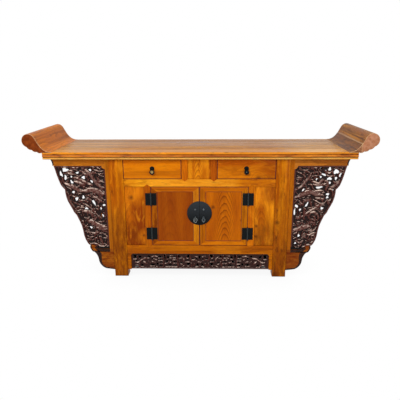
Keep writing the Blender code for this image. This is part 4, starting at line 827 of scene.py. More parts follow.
# %% Finishes on the solids
UPWARD = 0.9  # rise of a normal, above which a face counts as upper
plain = {
    elm_inside: ("cabinet_floor", "dust_board", "drawer_box_left", "drawer_box_right", "back_panel"),
    elm_side: ("side_panel_left", "side_panel_right"),
    elm_low_rail: ("back_top_rail", "back_bottom_rail", "side_rail_left", "side_rail_right"),
    elm_bay: ("drawer_bay_panel",),
    black_iron: ("pull_plate_left", "pull_plate_right"),
}
for side in SIDES:
    plain[elm_front_panel[side]] = ("front_panel_" + side,)
    plain[elm_door_panel[side]] = ("door_panel_" + side,)
for finish, names in plain.items():
    for name in names:
        mesh = nodes[name].data
        mesh.materials.clear()
        mesh.materials.append(finish)
for node, face_finish in (("top_front_edge", elm_top_front), ("top_back_edge", elm_top)):
    bm = clean_copy(node)
    for face in bm.faces:
        face.material_index = int(face.normal.z > UPWARD)
    dress("moulded_" + node, bm, [elm_edge, face_finish], node)
print("solids finished", sum(len(names) for names in plain.values()))

# %% [markdown]
# Each carved spandrel is a pierced board of boughs, twigs and leaves inside a rim, cut from one piece. A
# carver first draws the boughs, then sinks the ground, then pierces it. The same order works here. A bough
# is its half width and the points that it passes, in millimetres out from the leg and up from the floor. A
# hole is a place, a length, a width and a tilt. Trunks are wide, twigs thin, and the two sides differ, as
# hand work does.

# %% Boughs and holes of the carvings
LEG_FACE = 552  # millimetres from the middle to the outer face of a leg
RIGHT_BOUGHS = (
    (14, (30, 526), (61, 538), (81, 550), (105, 561), (126, 568), (145, 562), (165, 553), (188, 548),
     (210, 548)),
    (7, (35, 573), (54, 587), (74, 602), (90, 621), (102, 639), (114, 655), (123, 670), (129, 683)),
    (7, (130, 631), (150, 629), (166, 621), (181, 623), (193, 637), (202, 646)),
    (8.5, (141, 613), (172, 609), (200, 612), (224, 618)),
    (7.5, (208, 637), (226, 631), (233, 613), (226, 592), (220, 574)),
    (6, (149, 570), (169, 574), (195, 574), (213, 568)),
    (7, (244, 595), (264, 597), (280, 608), (294, 624), (303, 644)),
    (4, (170, 709), (176, 693), (187, 684), (183, 673), (173, 665)),
    (4.5, (212, 687), (228, 668), (251, 665), (266, 668)),
    (6, (203, 701), (219, 691), (237, 684), (251, 693)),
    (4, (252, 714), (256, 691), (263, 668), (267, 657)),
    (4, (297, 711), (308, 699), (294, 678), (293, 657)),
    (3.2, (38, 693), (59, 686), (75, 678), (88, 665), (99, 652)),
    (3.6, (68, 704), (98, 699), (117, 686), (130, 678)), (3.2, (76, 719), (95, 719)),
    (3.2, (101, 717), (119, 717)), (3.2, (135, 714), (157, 715), (158, 699)),
    (3.2, (38, 653), (61, 657), (72, 652)), (3.2, (38, 616), (50, 618), (74, 622)),
    (2.8, (49, 636), (53, 618)), (3.6, (148, 669), (167, 670), (165, 690), (149, 690)),
    (4, (111, 613), (131, 613), (143, 589), (156, 576)), (3, (122, 639), (137, 643), (131, 626)),
    (4, (100, 520), (131, 521)), (4, (148, 518), (169, 507), (190, 494), (213, 494), (228, 502)),
    (3, (156, 539), (187, 542), (215, 543)), (8, (160, 527), (188, 525), (216, 519)),
    (5, (161, 467), (176, 478), (201, 483), (222, 481)), (4, (67, 499), (80, 491), (91, 478)),
    (4, (37, 502), (58, 518)), (5, (103, 502), (122, 512), (137, 491), (141, 464)),
    (5, (235, 576), (247, 584), (260, 576), (267, 555), (263, 534)),
    (5, (240, 507), (252, 513), (259, 526)),
    (5, (94, 389), (103, 413), (120, 432), (142, 449), (166, 465), (191, 474)),
    (7, (127, 394), (131, 419), (145, 435), (163, 435), (180, 422), (189, 400), (182, 378)),
    (3, (144, 391), (159, 386), (172, 372)), (6, (137, 364), (155, 370), (171, 359)),
    (13, (30, 316), (66, 322), (94, 333), (120, 340), (143, 345)), (5, (40, 289), (57, 300), (65, 303)),
    (4, (40, 258), (59, 269)), (4, (93, 276), (111, 272), (120, 261)),
    (5, (115, 292), (142, 286), (162, 298), (177, 298)),
    (4, (132, 314), (153, 311), (171, 323), (182, 339)),
    (3.4, (151, 270), (162, 258), (174, 267), (168, 279), (155, 279), (150, 271)),
    (4, (129, 260), (145, 250)), (4, (145, 234), (163, 239), (173, 247)),
    (5, (63, 244), (77, 233), (95, 240), (105, 251)),
    (4, (49, 210), (63, 199), (82, 193), (100, 202), (120, 213), (138, 219), (157, 215)),
    (3, (49, 408), (63, 383)), (3.4, (59, 465), (60, 416)), (3.4, (72, 438), (77, 410), (71, 388)),
    (5, (98, 465), (98, 424), (96, 391)), (4, (200, 424), (206, 411), (197, 397)),
    (4, (183, 364), (193, 375)),
)
LEFT_BOUGHS = (
    (15, (30, 545), (57, 556), (77, 567), (100, 575), (126, 577), (153, 571), (176, 572)),
    (11, (150, 572), (179, 570), (199, 576), (214, 586), (236, 598), (264, 611), (292, 624)),
    (9, (159, 716), (147, 703), (133, 690), (117, 669), (103, 648), (89, 627), (74, 608), (57, 595),
     (37, 586)), (7.5, (231, 654), (208, 654), (188, 645), (168, 635), (151, 627), (136, 611)),
    (8.5, (225, 632), (203, 627), (177, 619), (157, 611)), (6, (144, 616), (123, 613), (109, 603)),
    (4, (267, 692), (252, 682), (237, 677), (214, 678)), (4, (171, 725), (165, 711), (158, 695)),
    (5, (189, 698), (171, 695), (152, 677), (137, 668)), (5, (233, 720), (208, 716), (185, 718)),
    (5, (253, 698), (235, 698), (220, 691)), (4, (286, 683), (263, 681)), (3.2, (267, 671), (253, 670)),
    (3.2, (270, 653), (251, 653)), (4, (273, 632), (256, 634)),
    (3.2, (101, 708), (76, 700), (56, 695), (36, 700)), (3.2, (87, 729), (67, 716), (50, 705)),
    (3.2, (72, 685), (60, 671), (47, 666)), (3.2, (51, 663), (36, 664)),
    (3.2, (73, 629), (55, 632), (36, 625)), (3, (58, 637), (40, 640)), (4, (83, 664), (74, 645), (78, 627)),
    (4, (144, 678), (124, 674), (106, 679)), (3.2, (151, 721), (131, 721)),
    (3.6, (115, 726), (97, 721), (96, 705)), (4, (43, 611), (34, 600)), (3.4, (205, 547), (189, 552)),
    (4, (160, 541), (139, 541), (122, 531)), (4, (117, 558), (97, 549)),
    (4, (119, 528), (98, 531), (81, 520), (63, 504), (45, 498)), (4, (69, 536), (54, 523), (40, 509)),
    (4, (205, 502), (189, 509), (165, 508)), (4, (159, 517), (138, 520), (123, 508)),
    (3.4, (97, 514), (98, 501)), (4, (233, 541), (232, 520)), (4, (200, 536), (204, 514)),
    (3.4, (158, 498), (148, 498)), (5, (296, 658), (292, 642), (301, 632)), (4, (310, 721), (309, 705)),
    (4, (298, 721), (277, 720), (251, 721)),
    (3.6, (190, 495), (169, 487), (149, 475), (138, 466), (118, 447), (101, 425), (87, 404), (73, 376)),
    (4, (204, 458), (183, 465), (170, 461)),
    (11, (190, 435), (169, 439), (148, 435), (130, 427), (123, 413), (130, 402)),
    (3.2, (154, 398), (140, 401)), (5, (178, 398), (165, 389)),
    (14, (155, 374), (138, 374), (118, 362), (96, 350), (70, 340), (30, 332)),
    (12, (110, 334), (86, 328), (60, 322), (30, 318)), (4, (64, 312), (51, 306), (34, 298)),
    (4, (142, 299), (124, 293), (100, 297), (88, 300)), (4, (110, 309), (100, 297)),
    (6, (91, 273), (82, 252), (72, 229), (68, 212)), (4, (122, 252), (106, 261), (102, 248)),
    (4, (121, 249), (113, 239)),
    (4, (154, 220), (127, 223), (105, 218), (90, 206), (72, 201), (52, 209), (39, 219)),
    (4, (179, 339), (165, 321)), (4, (178, 307), (157, 297)), (4, (166, 240), (146, 249), (133, 241)),
    (4, (140, 266), (126, 269)), (4, (53, 283), (40, 269), (39, 252)),
    (3.2, (40, 461), (42, 434), (50, 398)), (3.2, (55, 442), (54, 423)), (4, (94, 453), (100, 442)),
    (4, (197, 414), (190, 403)), (4, (220, 466), (216, 450)),
    (4, (272, 565), (262, 540), (262, 515), (250, 490), (238, 470), (228, 452)),
    (4, (258, 588), (244, 580), (250, 566)), (4, (246, 540), (230, 532), (240, 512)),
    (3.6, (232, 496), (214, 487), (200, 480)), (4, (222, 440), (205, 444), (192, 452)),
    (3.6, (180, 380), (186, 360), (176, 345)), (4, (95, 400), (110, 385), (128, 392)),
    (4, (50, 375), (70, 368), (90, 372)), (3.6, (40, 390), (52, 372)),
    (4, (185, 330), (170, 340), (160, 352)), (4, (140, 460), (125, 470), (132, 484)),
    (4, (92, 478), (80, 470), (88, 440)),
)
RIGHT_HOLES = (
    (192, 716, 16, 12, 0), (240, 709, 21, 14, 80), (280, 692, 28, 26, 20), (305, 673, 26, 10, 75),
    (205, 674, 33, 9, -22), (189, 659, 11, 10, 0), (168, 646, 20, 14, 50), (242, 648, 27, 15, 0),
    (281, 650, 18, 12, 80), (244, 621, 18, 12, 50), (183, 593, 39, 11, 8), (86, 578, 18, 12, 70),
    (268, 577, 10, 6, 80), (239, 551, 20, 14, 30), (237, 530, 14, 12, 40), (114, 483, 32, 9, 62),
    (51, 474, 22, 16, -60), (40, 439, 47, 10, 88), (74, 450, 15, 12, 80), (209, 459, 15, 14, 10),
    (75, 278, 15, 12, 80), (56, 227, 12, 10, 60), (139, 597, 16, 6, -60), (216, 698, 12, 7, -20),
)
LEFT_HOLES = (
    (275, 703, 33, 20, 0), (302, 677, 32, 13, 72), (276, 655, 28, 14, -88), (240, 627, 22, 12, 60),
    (201, 685, 17, 10, -20), (165, 655, 18, 17, 0), (120, 703, 16, 12, 0), (115, 630, 20, 10, 40),
    (234, 561, 15, 14, 0), (217, 518, 21, 15, -60), (175, 529, 20, 12, -85), (111, 494, 34, 12, 62),
    (48, 478, 16, 14, 0), (71, 454, 20, 12, -80), (160, 455, 18, 14, 0), (64, 409, 24, 17, 70),
    (140, 329, 16, 11, 40), (240, 660, 12, 8, -80),
)
FREE_EDGE = (
    (342, 730), (335, 706), (327, 672), (318, 640), (307, 608), (294, 590), (285, 582), (284, 560),
    (280, 532), (272, 503), (260, 478), (249, 456), (243, 442), (240, 434), (224, 413), (211, 381),
    (199, 349), (192, 316), (188, 282), (180, 251), (167, 224), (156, 212),
)
SEAT = (
    (138, 215), (127, 212), (116, 204), (108, 193), (100, 188), (25.5, 188), (25.5, 711), (31, 725),
    (45, 730),
)
print("boughs", len(RIGHT_BOUGHS), len(LEFT_BOUGHS), "holes", len(RIGHT_HOLES), len(LEFT_HOLES))

# %% [markdown]
# The ground of a carving is a filled outline with its holes, pulled back to its thickness. A gouge leaves
# no true oval, so the edge of a hole is a little ragged. The rim is the same outline, inset by its width.
# Cutting the holes out of a board with a Boolean would work too, but a filled outline gives the same at
# once.

# %% Ground and rim
HOLE_POINTS = 14


def deepen(bm, faces, depth, **options):
    """Extrudes the faces backwards by that depth."""
    deep = bmesh.ops.extrude_face_region(bm, geom=faces, **options)
    moved = [g for g in deep["geom"] if isinstance(g, bmesh.types.BMVert)]
    bmesh.ops.translate(bm, verts=moved, vec=(0, depth, 0))


def pierced_ground(bm, outline, holes, front, rear):
    """A board with that outline and those holes, between two depths. Points are (x, z) in metres."""
    edges = []
    for loop in (outline, *holes):
        verts = [bm.verts.new((x, front, z)) for x, z in loop]
        edges += [bm.edges.new(pair) for pair in zip(verts, verts[1:] + verts[:1])]
    filled = bmesh.ops.triangle_fill(bm, use_beauty=True, use_dissolve=False, edges=edges)
    deepen(bm, [g for g in filled["geom"] if isinstance(g, bmesh.types.BMFace)], rear - front)


def inset_ring(bm, outline, width, front):
    """A flat frame of that width just inside the outline, and the corners of its opening."""
    face = bm.faces.new([bm.verts.new((x, front, z)) for x, z in outline])
    face.normal_update()
    ring = bmesh.ops.inset_region(bm, faces=[face], thickness=width, use_boundary=True, use_even_offset=True)
    corners = face.verts[:]
    bmesh.ops.delete(bm, geom=[face], context="FACES_ONLY")
    return ring["faces"], corners


def raised_rim(bm, outline, width, front, rear):
    """A frame of that width just inside the outline, between two depths."""
    deepen(bm, inset_ring(bm, outline, width, front)[0], rear - front)


def hole_loops(holes, sign, start=0):
    """Ragged ovals as loops of points in metres, on the side of the sign and out from the start."""
    loops = []
    for x, z, length, width, *tilt in holes:
        turn = Matrix.Rotation(math.radians(tilt[0] if tilt else 0), 2)
        loop = []
        for i in range(HOLE_POINTS):
            angle = 2 * math.pi * i / HOLE_POINTS
            # Half the size and a little more, with three waves and five round the edge.
            ragged = 0.56 + 0.12 * math.sin(3 * angle + x) + 0.08 * math.sin(5 * angle + z)
            spot = turn @ Vector((length * ragged * math.cos(angle), width * ragged * math.sin(angle)))
            loop.append((sign * (start + (x + spot.x)) / 1000, (z + spot.y) / 1000))
        loops.append(loop)
    return loops


print("a hole has", HOLE_POINTS, "points")

# %% [markdown]
# A bough is a curve with a round bevel, which is the quickest way to a tapered ridge. Its depth is then
# drawn out so that its back sinks into the ground, and its front is pressed flat, as low relief is. Small
# leaves go where chance puts them, from a fixed seed, and keep clear of the holes and the free edge.

# %% Boughs and leaves
STRETCH = 2.2  # times deeper
PIVOT, FLAT_FRONT = 0.001, 0.0032  # metres in front of the crest line
FULLER, END_SHARE, MIDDLE_MORE = 1.15, 0.55, 0.45  # times the half width, share at the ends, and the rest
THIN, STEP_OUT = 3, 0.0003  # millimetres of half width, and metres further out for each above that
LEAF_OUT, LEAF_UP, LEAF_LENGTH, LEAF_WIDTH = (32, 320), (200, 724), (14, 34), (2.2, 3.6)  # millimetres
LEAF_SAG = (-0.3, 0.3)  # share of half the length
EDGE_CLEAR, LEG_CLEAR, HOLE_CLEAR = 8, 28, 2.5  # millimetres


def bough_tubes(bm, strokes, sign, start, crest, rear):
    """A tapered ridge along each stroke, on the side of the sign and out from the start in millimetres."""
    curve = bpy.data.curves.new("strokes", "CURVE")
    curve.dimensions, curve.bevel_depth, curve.bevel_resolution, curve.use_fill_caps = "3D", 0.001, 2, True
    for width, *places in strokes:
        line = curve.splines.new("BEZIER")
        line.bezier_points.add(len(places) - 1)
        line.resolution_u = 5
        for i, (point, (out, up)) in enumerate(zip(line.bezier_points, places)):
            middle = 1 - abs(2 * i / (len(places) - 1) - 1)
            # A bough tapers to about half at its ends, and a wide one stands a little further out.
            point.radius = FULLER * width * (END_SHARE + MIDDLE_MORE * min(1, 2 * middle))
            depth = crest - (width - THIN) * STEP_OUT + width * 0.001
            point.co = (sign * (start + out) / 1000, depth, up / 1000)
            point.handle_left_type = point.handle_right_type = "AUTO"
    holder = bpy.data.objects.new("strokes", curve)
    scene.collection.objects.link(holder)
    shown = holder.evaluated_get(bpy.context.evaluated_depsgraph_get())
    tubes = bpy.data.meshes.new_from_object(shown)
    before = len(bm.verts)
    bm.from_mesh(tubes)
    bm.verts.ensure_lookup_table()
    for vert in bm.verts[before:]:
        drawn = crest - PIVOT + (vert.co.y - crest + PIVOT) * STRETCH
        vert.co.y = min(max(drawn, crest - FLAT_FRONT), rear)
    bpy.data.objects.remove(holder)
    bpy.data.curves.remove(curve)
    bpy.data.meshes.remove(tubes)


def chance_leaves(holes, count, seed):
    """Short curved leaves as strokes, inside the free edge and clear of the holes."""
    chance = random.Random(seed)
    found = []
    while len(found) < count:
        out, up = chance.uniform(*LEAF_OUT), chance.uniform(*LEAF_UP)
        turn, length = chance.uniform(0, math.pi), chance.uniform(*LEAF_LENGTH)
        sag = chance.uniform(*LEAF_SAG)
        ahead = Vector((math.cos(turn), math.sin(turn))) * length / 2
        bow = Vector((-ahead.y, ahead.x)) * sag
        leaf = [Vector((out, up)) - ahead, Vector((out, up)) + bow, Vector((out, up)) + ahead]
        edge_here = min(FREE_EDGE, key=lambda p: abs(p[1] - up))[0]
        if max(p.x for p in leaf) > edge_here - EDGE_CLEAR or min(p.x for p in leaf) < LEG_CLEAR:
            continue
        if any((Vector(h[:2]) - p).length < h[2] / 2 + HOLE_CLEAR for h in holes for p in leaf):
            continue
        found.append((chance.uniform(*LEAF_WIDTH), *(tuple(p) for p in leaf)))
    return found


print("leaves lie", LEAF_OUT, "mm out and", LEAF_UP, "mm up")

# %% [markdown]
# Overlapping tubes are not yet one piece of wood. A voxel remesh wraps a single skin round all of them, as
# if the knife had blended each crossing, and a light smoothing takes the steps off. Decimating last spends
# the faces where the surface bends and keeps each carving below the limit of 200,000 triangles.

# %% Cut the two spandrels
VOXEL, MOST_TRIANGLES = 0.0015, 185000
GROUND_REAR, RELIEF_REAR = -0.2185, -0.2190  # depths along Y, in metres
GROUND, RIM, CREST, LEAF_CREST = -0.2235, -0.2312, -0.2364, -0.2342
RIM_WIDTH, LEAVES, SEED = 0.009, 290, 7
CARVED_ANGLE = 60  # degrees


def one_skin(bm):
    """The bmesh as one smooth closed skin."""
    mesh = bpy.data.meshes.new("carving_blank")
    bmesh.ops.recalc_face_normals(bm, faces=bm.faces[:])
    bm.to_mesh(mesh)
    bm.free()
    blank = bpy.data.objects.new("carving_blank", mesh)
    scene.collection.objects.link(blank)
    skin = blank.modifiers.new("skin", "REMESH")
    skin.mode, skin.voxel_size = "VOXEL", VOXEL
    soft = blank.modifiers.new("soft", "SMOOTH")
    soft.factor, soft.iterations = 0.5, 2
    graph = bpy.context.evaluated_depsgraph_get()
    count = 2 * len(blank.evaluated_get(graph).data.polygons)
    if count > MOST_TRIANGLES:
        blank.modifiers.new("thin", "DECIMATE").ratio = MOST_TRIANGLES / count
        graph = bpy.context.evaluated_depsgraph_get()
    made = bmesh.new()
    made.from_mesh(blank.evaluated_get(graph).data)
    bpy.data.objects.remove(blank)
    bpy.data.meshes.remove(mesh)
    return made


DRAWN = {"left": (LEFT_BOUGHS, LEFT_HOLES), "right": (RIGHT_BOUGHS, RIGHT_HOLES)}
for side, (boughs, holes) in DRAWN.items():
    sign = SIDES[side]
    outline = [(sign * (LEG_FACE + out) / 1000, up / 1000) for out, up in FREE_EDGE + SEAT]
    bm = bmesh.new()
    pierced_ground(bm, outline, hole_loops(holes, sign, LEG_FACE), GROUND, GROUND_REAR)
    raised_rim(bm, outline, RIM_WIDTH, RIM, RELIEF_REAR)
    bough_tubes(bm, boughs, sign, LEG_FACE, CREST, RELIEF_REAR)
    bough_tubes(bm, chance_leaves(holes, LEAVES, SEED + sign), sign, LEG_FACE, LEAF_CREST, RELIEF_REAR)
    node = "spandrel_carving_" + side
    piece = dress("carved_spandrel_" + side, one_skin(bm), [carved_wood], node, CARVED_ANGLE)
    print(piece.name, len(piece.data.polygons), "faces")

# %% [markdown]
# The boards at the back legs have the same outline and are plainer: daylight comes through a few openings
# in them. The outline is read off the solid's own front face, so the board keeps its edge exactly.

# %% Pierce the rear boards
FORWARD = -0.99  # Y of a normal, below which a face counts as front
REAR_HOLES = {
    "right": ((307, 621, 26, 21), (279, 539, 30, 23, 50), (183, 459, 28, 21, 70), (142, 337, 33, 26, -60),
              (129, 290, 70, 22, 88), (169, 309, 25, 21, 80), (245, 481, 26, 16, -60)),
    "left": ((248, 605, 28, 23), (242, 520, 30, 21, 40), (164, 342, 28, 24), (191, 314, 30, 21, -80),
             (180, 262, 30, 24, 70)),
}
for side, sign in SIDES.items():
    node = "rear_spandrel_" + side
    low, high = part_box(node)
    bm = clean_copy(node)
    face = max((f for f in bm.faces if f.normal.y < FORWARD), key=lambda f: f.calc_area())
    outline = [(v.co.x, v.co.z) for v in face.verts]
    bm.free()
    bm = bmesh.new()
    pierced_ground(bm, outline, hole_loops(REAR_HOLES[side], sign, LEG_FACE), low.y, high.y)
    bmesh.ops.recalc_face_normals(bm, faces=bm.faces[:])
    dress("pierced_rear_" + side, bm, [elm_side], node)
    print(node, "openings", len(REAR_HOLES[side]))

# %% [markdown]
# The apron is a band of fretwork: square scrolls, bars and leaves, the same on both halves. It is made like
# the spandrels, from strokes and holes given for one half and mirrored, and the painted shade on the floor
# under the case shows through it. Its scrolls are thinner than the boughs, on a ground that stands further
# out.

# %% Scrolls and holes of the apron
APRON_SCROLLS = (
    (4.5, (420, 93), (397, 93), (381, 107), (361, 118), (328, 122)), (4, (431, 114), (411, 114)),
    (4, (405, 137), (402, 118)), (6, (396, 113), (391, 115)), (3.4, (418, 72), (400, 72)),
    (4, (395, 86), (392, 69), (383, 60), (363, 58)), (9, (366, 99), (355, 90), (343, 81)),
    (4, (334, 102), (321, 89)), (4, (325, 66), (293, 65)), (4, (301, 117), (278, 109)),
    (4, (268, 120), (242, 120)), (4, (269, 103), (240, 103)), (4, (263, 81), (240, 81)),
    (4, (260, 59), (242, 59)), (5, (235, 145), (238, 50)), (8, (313, 99), (290, 90)),
    (4, (312, 129), (295, 136), (273, 131)), (4, (285, 62), (269, 57)), (4, (213, 115), (197, 116)),
    (3.6, (193, 138), (172, 138)), (4, (194, 123), (152, 123)), (4, (178, 109), (147, 109)),
    (3.6, (153, 145), (153, 123)), (3.6, (175, 138), (175, 123)), (4, (207, 97), (186, 90)),
    (4, (178, 86), (146, 84)), (4, (227, 84), (208, 86)), (4, (223, 61), (146, 60)),
    (4.5, (143, 145), (144, 51)), (3.6, (222, 145), (217, 115)), (4, (142, 121), (119, 121)),
    (8, (119, 130), (102, 109), (108, 99)), (4, (97, 95), (66, 95)), (3.6, (87, 144), (85, 123), (71, 120)),
    (5, (63, 146), (60, 120), (49, 101)), (4, (49, 109), (31, 111), (20, 102)), (4, (10, 93), (-13, 96)),
    (4, (86, 67), (70, 66)), (4, (28, 59), (8, 65)), (5, (125, 83), (112, 76)), (4, (114, 63), (99, 70)),
    (6, (134, 100), (138, 70)), (6, (57, 88), (51, 60)), (5, (37, 137), (14, 130)), (5, (34, 85), (41, 67)),
    (4, (-1, 68), (-1, 55)),
)
APRON_HOLES = (
    (421, 131, 18, 18), (389, 128, 16, 12), (331, 131, 16, 9), (308, 118, 10, 9), (257, 130, 20, 9),
    (255, 111, 20, 6), (253, 93, 18, 7), (275, 78, 12, 12), (255, 68, 20, 8), (307, 75, 25, 9),
    (376, 71, 16, 10), (411, 103, 17, 5), (412, 63, 21, 10), (227, 131, 9, 18), (205, 126, 12, 12),
    (186, 130, 9, 6), (162, 130, 9, 6), (214, 97, 15, 11), (186, 100, 10, 5), (161, 95, 21, 6),
    (197, 72, 34, 7), (158, 72, 15, 6), (136, 132, 12, 11), (74, 134, 15, 15), (83, 106, 21, 5),
    (75, 80, 18, 14), (120, 88, 15, 6), (44, 116, 15, 6), (21, 114, 7, 11), (15, 74, 13, 13),
)
MIDDLE_HOLE = (0, 127, 12, 24)
THINNER, WIDEST, TALLER = 0.82, 6.0, 1.4
thin_scrolls = [(THINNER * min(width, WIDEST), *line) for width, *line in APRON_SCROLLS]
tall_holes = [
    (sign * x, z, length, TALLER * width) for x, z, length, width in APRON_HOLES for sign in (-1, 1)
] + [MIDDLE_HOLE]
print("scrolls", 2 * len(thin_scrolls), "holes", len(tall_holes))

# %% [markdown]
# The outline of the apron is a long board with its two upper corners rounded. A quarter of a circle in six
# steps is smooth enough for a corner of that size.

# %% Cut the apron
APRON_HALF, APRON_LOW, ROUND_FROM, ROUND = 443.4, 47.4, 138, 18  # millimetres
APRON_GROUND, APRON_RIM, APRON_RIM_WIDTH = -0.2256, -0.2285, 0.006  # metres

turns = [math.radians(15 * i) for i in range(7)]
corner = [(APRON_HALF - ROUND + ROUND * math.cos(a), ROUND_FROM + ROUND * math.sin(a)) for a in turns]
half = [(APRON_HALF, APRON_LOW)] + corner
outline = [(x / 1000, z / 1000) for x, z in half] + [(-x / 1000, z / 1000) for x, z in reversed(half)]
bm = bmesh.new()
pierced_ground(bm, outline, hole_loops(tall_holes, 1), APRON_GROUND, GROUND_REAR)
raised_rim(bm, outline, APRON_RIM_WIDTH, APRON_RIM, RELIEF_REAR)
for sign in (1, -1):
    bough_tubes(bm, thin_scrolls, sign, 0, CREST, RELIEF_REAR)
piece = dress("carved_apron", one_skin(bm), [carved_wood], "apron_carving", CARVED_ANGLE)
print(piece.name, len(piece.data.polygons), "faces")

# %% [markdown]
# The frame round each carving has a dark margin along the free edge of its foot and rail, planed to a
# shallow slope: partly stain, and partly painted shade at the end of the rail and in the curl of the foot.
# A black band under the carving is painted as its shadow. The front face is inset to draw the margin, its
# outer line is moved back, and only the faces along the free edge take the dark. On the foot and under the
# carving the margin is made wider. Last, two cuts part the upright strip from the rail and the foot, so that
# it can have the grain of an upright.

# %% Spandrel frames
MARGIN, SLOPE, SHADOW_TRAY = 0.010, 0.004, 0.010  # widths and depth in metres
# The band under the carving is painted shadow, widened from this height down and in.
SHADOW_TRAY_HEIGHT, SHADOW_TRAY_END, SHADOW_TRAY_CORNER = 0.177, 0.66, 0.57
STRIP_EDGE, FOOT_TOP, SNAP = 0.577, 0.187, 2e-5
SLOPED_FROM, CURL_FROM, CURL_BELOW = 0.58, 0.59, 0.17  # how far out, and for the curl of the foot how low
RAIL_END, FOOT_OUT, FOOT_BELOW, SEAT_OUT, SEAT_BELOW = 0.335, 0.02, 0.2, 0.142, 0.24  # metres out and up
CURL_HEIGHT, CURL_HALF, CURL_SHADE_MORE = 0.148, 0.03, 1.3  # metres, and margins wider
WIDER_FROM, WIDER_OVER, LEAST_WIDER = 0.06, 0.05, 0.15


def on_free_edge(out, up):
    """True at the end of the rail, round the foot and along the painted shadow under the carving, by metres
    out from the leg and up.
    """
    foot, shadow_tray = up < FOOT_BELOW and out > FOOT_OUT, out > SEAT_OUT and up < SEAT_BELOW
    return out > RAIL_END or foot or shadow_tray


def widening(up):
    """How many margins wider the margin of the foot gets at a height, most of all in its curl, as painted
    shade.
    """
    curl = CURL_SHADE_MORE * max(1 - abs(up - CURL_HEIGHT) / CURL_HALF, 0.0)
    return min(max((up - WIDER_FROM) / WIDER_OVER, LEAST_WIDER), 1.0) + curl


for side, sign in SIDES.items():
    node = "spandrel_frame_" + side
    bm = clean_copy(node)
    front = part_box(node)[0].y
    faces = [f for f in bm.faces if f.normal.y < FORWARD and abs(f.calc_center_median().y - front) < NEAR]
    margin = bmesh.ops.inset_region(bm, faces=faces, thickness=MARGIN, use_even_offset=True)["faces"]
    inner = {v for f in faces for v in f.verts}
    dark_margin, sloped, moves = 0, set(), {}
    for face in margin:
        outer = next(e for e in face.edges if not inner & set(e.verts))
        middle = (outer.verts[0].co + outer.verts[1].co) / 2
        if not on_free_edge(abs(middle.x) - LEG_FACE / 1000, middle.z):
            continue
        face.material_index = 1
        dark_margin += 1
        sloped.update(v for v in outer.verts if abs(v.co.x) > SLOPED_FROM)
        for edge in face.edges:
            near = [v for v in edge.verts if v in inner and abs(v.co.x) > CURL_FROM and v.co.z < CURL_BELOW]
            if len(near) == 1:
                moves[near[0]] = (near[0].co - edge.other_vert(near[0]).co) * widening(near[0].co.z)
    # The painted shadow under the carving is widened down and in.
    for vert in inner:
        if abs(vert.co.z - SHADOW_TRAY_HEIGHT) < NEAR and abs(vert.co.x) < SHADOW_TRAY_END:
            moves[vert] = Vector((sign * SHADOW_TRAY if abs(vert.co.x) < SHADOW_TRAY_CORNER else 0.0, 0.0, -SHADOW_TRAY))
    for vert, step in moves.items():
        vert.co += step
    bmesh.ops.translate(bm, verts=list(sloped), vec=(0, SLOPE, 0))
    for place, facing in (((sign * STRIP_EDGE, 0, 0), (1, 0, 0)), ((0, 0, FOOT_TOP), (0, 0, 1))):
        whole = bm.verts[:] + bm.edges[:] + bm.faces[:]
        bmesh.ops.bisect_plane(bm, geom=whole, dist=SNAP, plane_co=place, plane_no=facing)
    for face in bm.faces:
        middle = face.calc_center_median()
        if abs(middle.x) < STRIP_EDGE and middle.z > FOOT_TOP and face.material_index == 0:
            face.material_index = 2
    dress("framed_spandrel_" + side, bm, [elm_frame[side], dark_stain_and_shade, elm_strip], node)
    print(node, "stained faces", dark_margin)

# %% [markdown]
# A door frame is four members mitred at the corners, so the grain turns at each corner. The solid is one
# piece, and one grain would run through it. A rectangle inset by the width of the members gives exactly the
# four mitred faces. They are extruded to the thickness, the stiles and rails take their own grain, and the
# outer arris takes the stain of the joint.

# %% Door frames
DOOR_RAIL, STILE_MORE, DOOR_ARRIS = 0.032, 0.008, 0.0024

for side in SIDES:
    node = "door_frame_" + side
    low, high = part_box(node)
    bm = bmesh.new()
    corners = ((low.x, low.z), (high.x, low.z), (high.x, high.z), (low.x, high.z))
    members, opening = inset_ring(bm, corners, DOOR_RAIL, low.y)
    for vert in opening:
        vert.co.x += STILE_MORE if vert.co.x < (low.x + high.x) / 2 else -STILE_MORE
    for member in members:
        middle = member.calc_center_median()
        member.material_index = int(min(middle.z - low.z, high.z - middle.z) < DOOR_RAIL)
    deepen(bm, members, high.y - low.y, use_keep_orig=True)
    bmesh.ops.recalc_face_normals(bm, faces=bm.faces[:])
    for face in round_off(bm, long_edges(bm, shortest=0.1, before=low.y + NEAR), DOOR_ARRIS):
        face.material_index = 2
    dress("mitred_door_frame_" + side, bm, [elm_stile, elm_door_rail, maroon_stain], node)
    print(node, "members", len(members))

# %% [markdown]
# The round lock plate is hammered sheet iron, a shallow dome with a raised rim, in two halves that part
# with the doors, and grey above with a painted sheen. The dome's section, from the middle out and back, is
# spun half a turn. The solid under it keeps the bosses and the hangers that stand through the dome, and
# those are rubbed grey, the grey also a painted highlight.

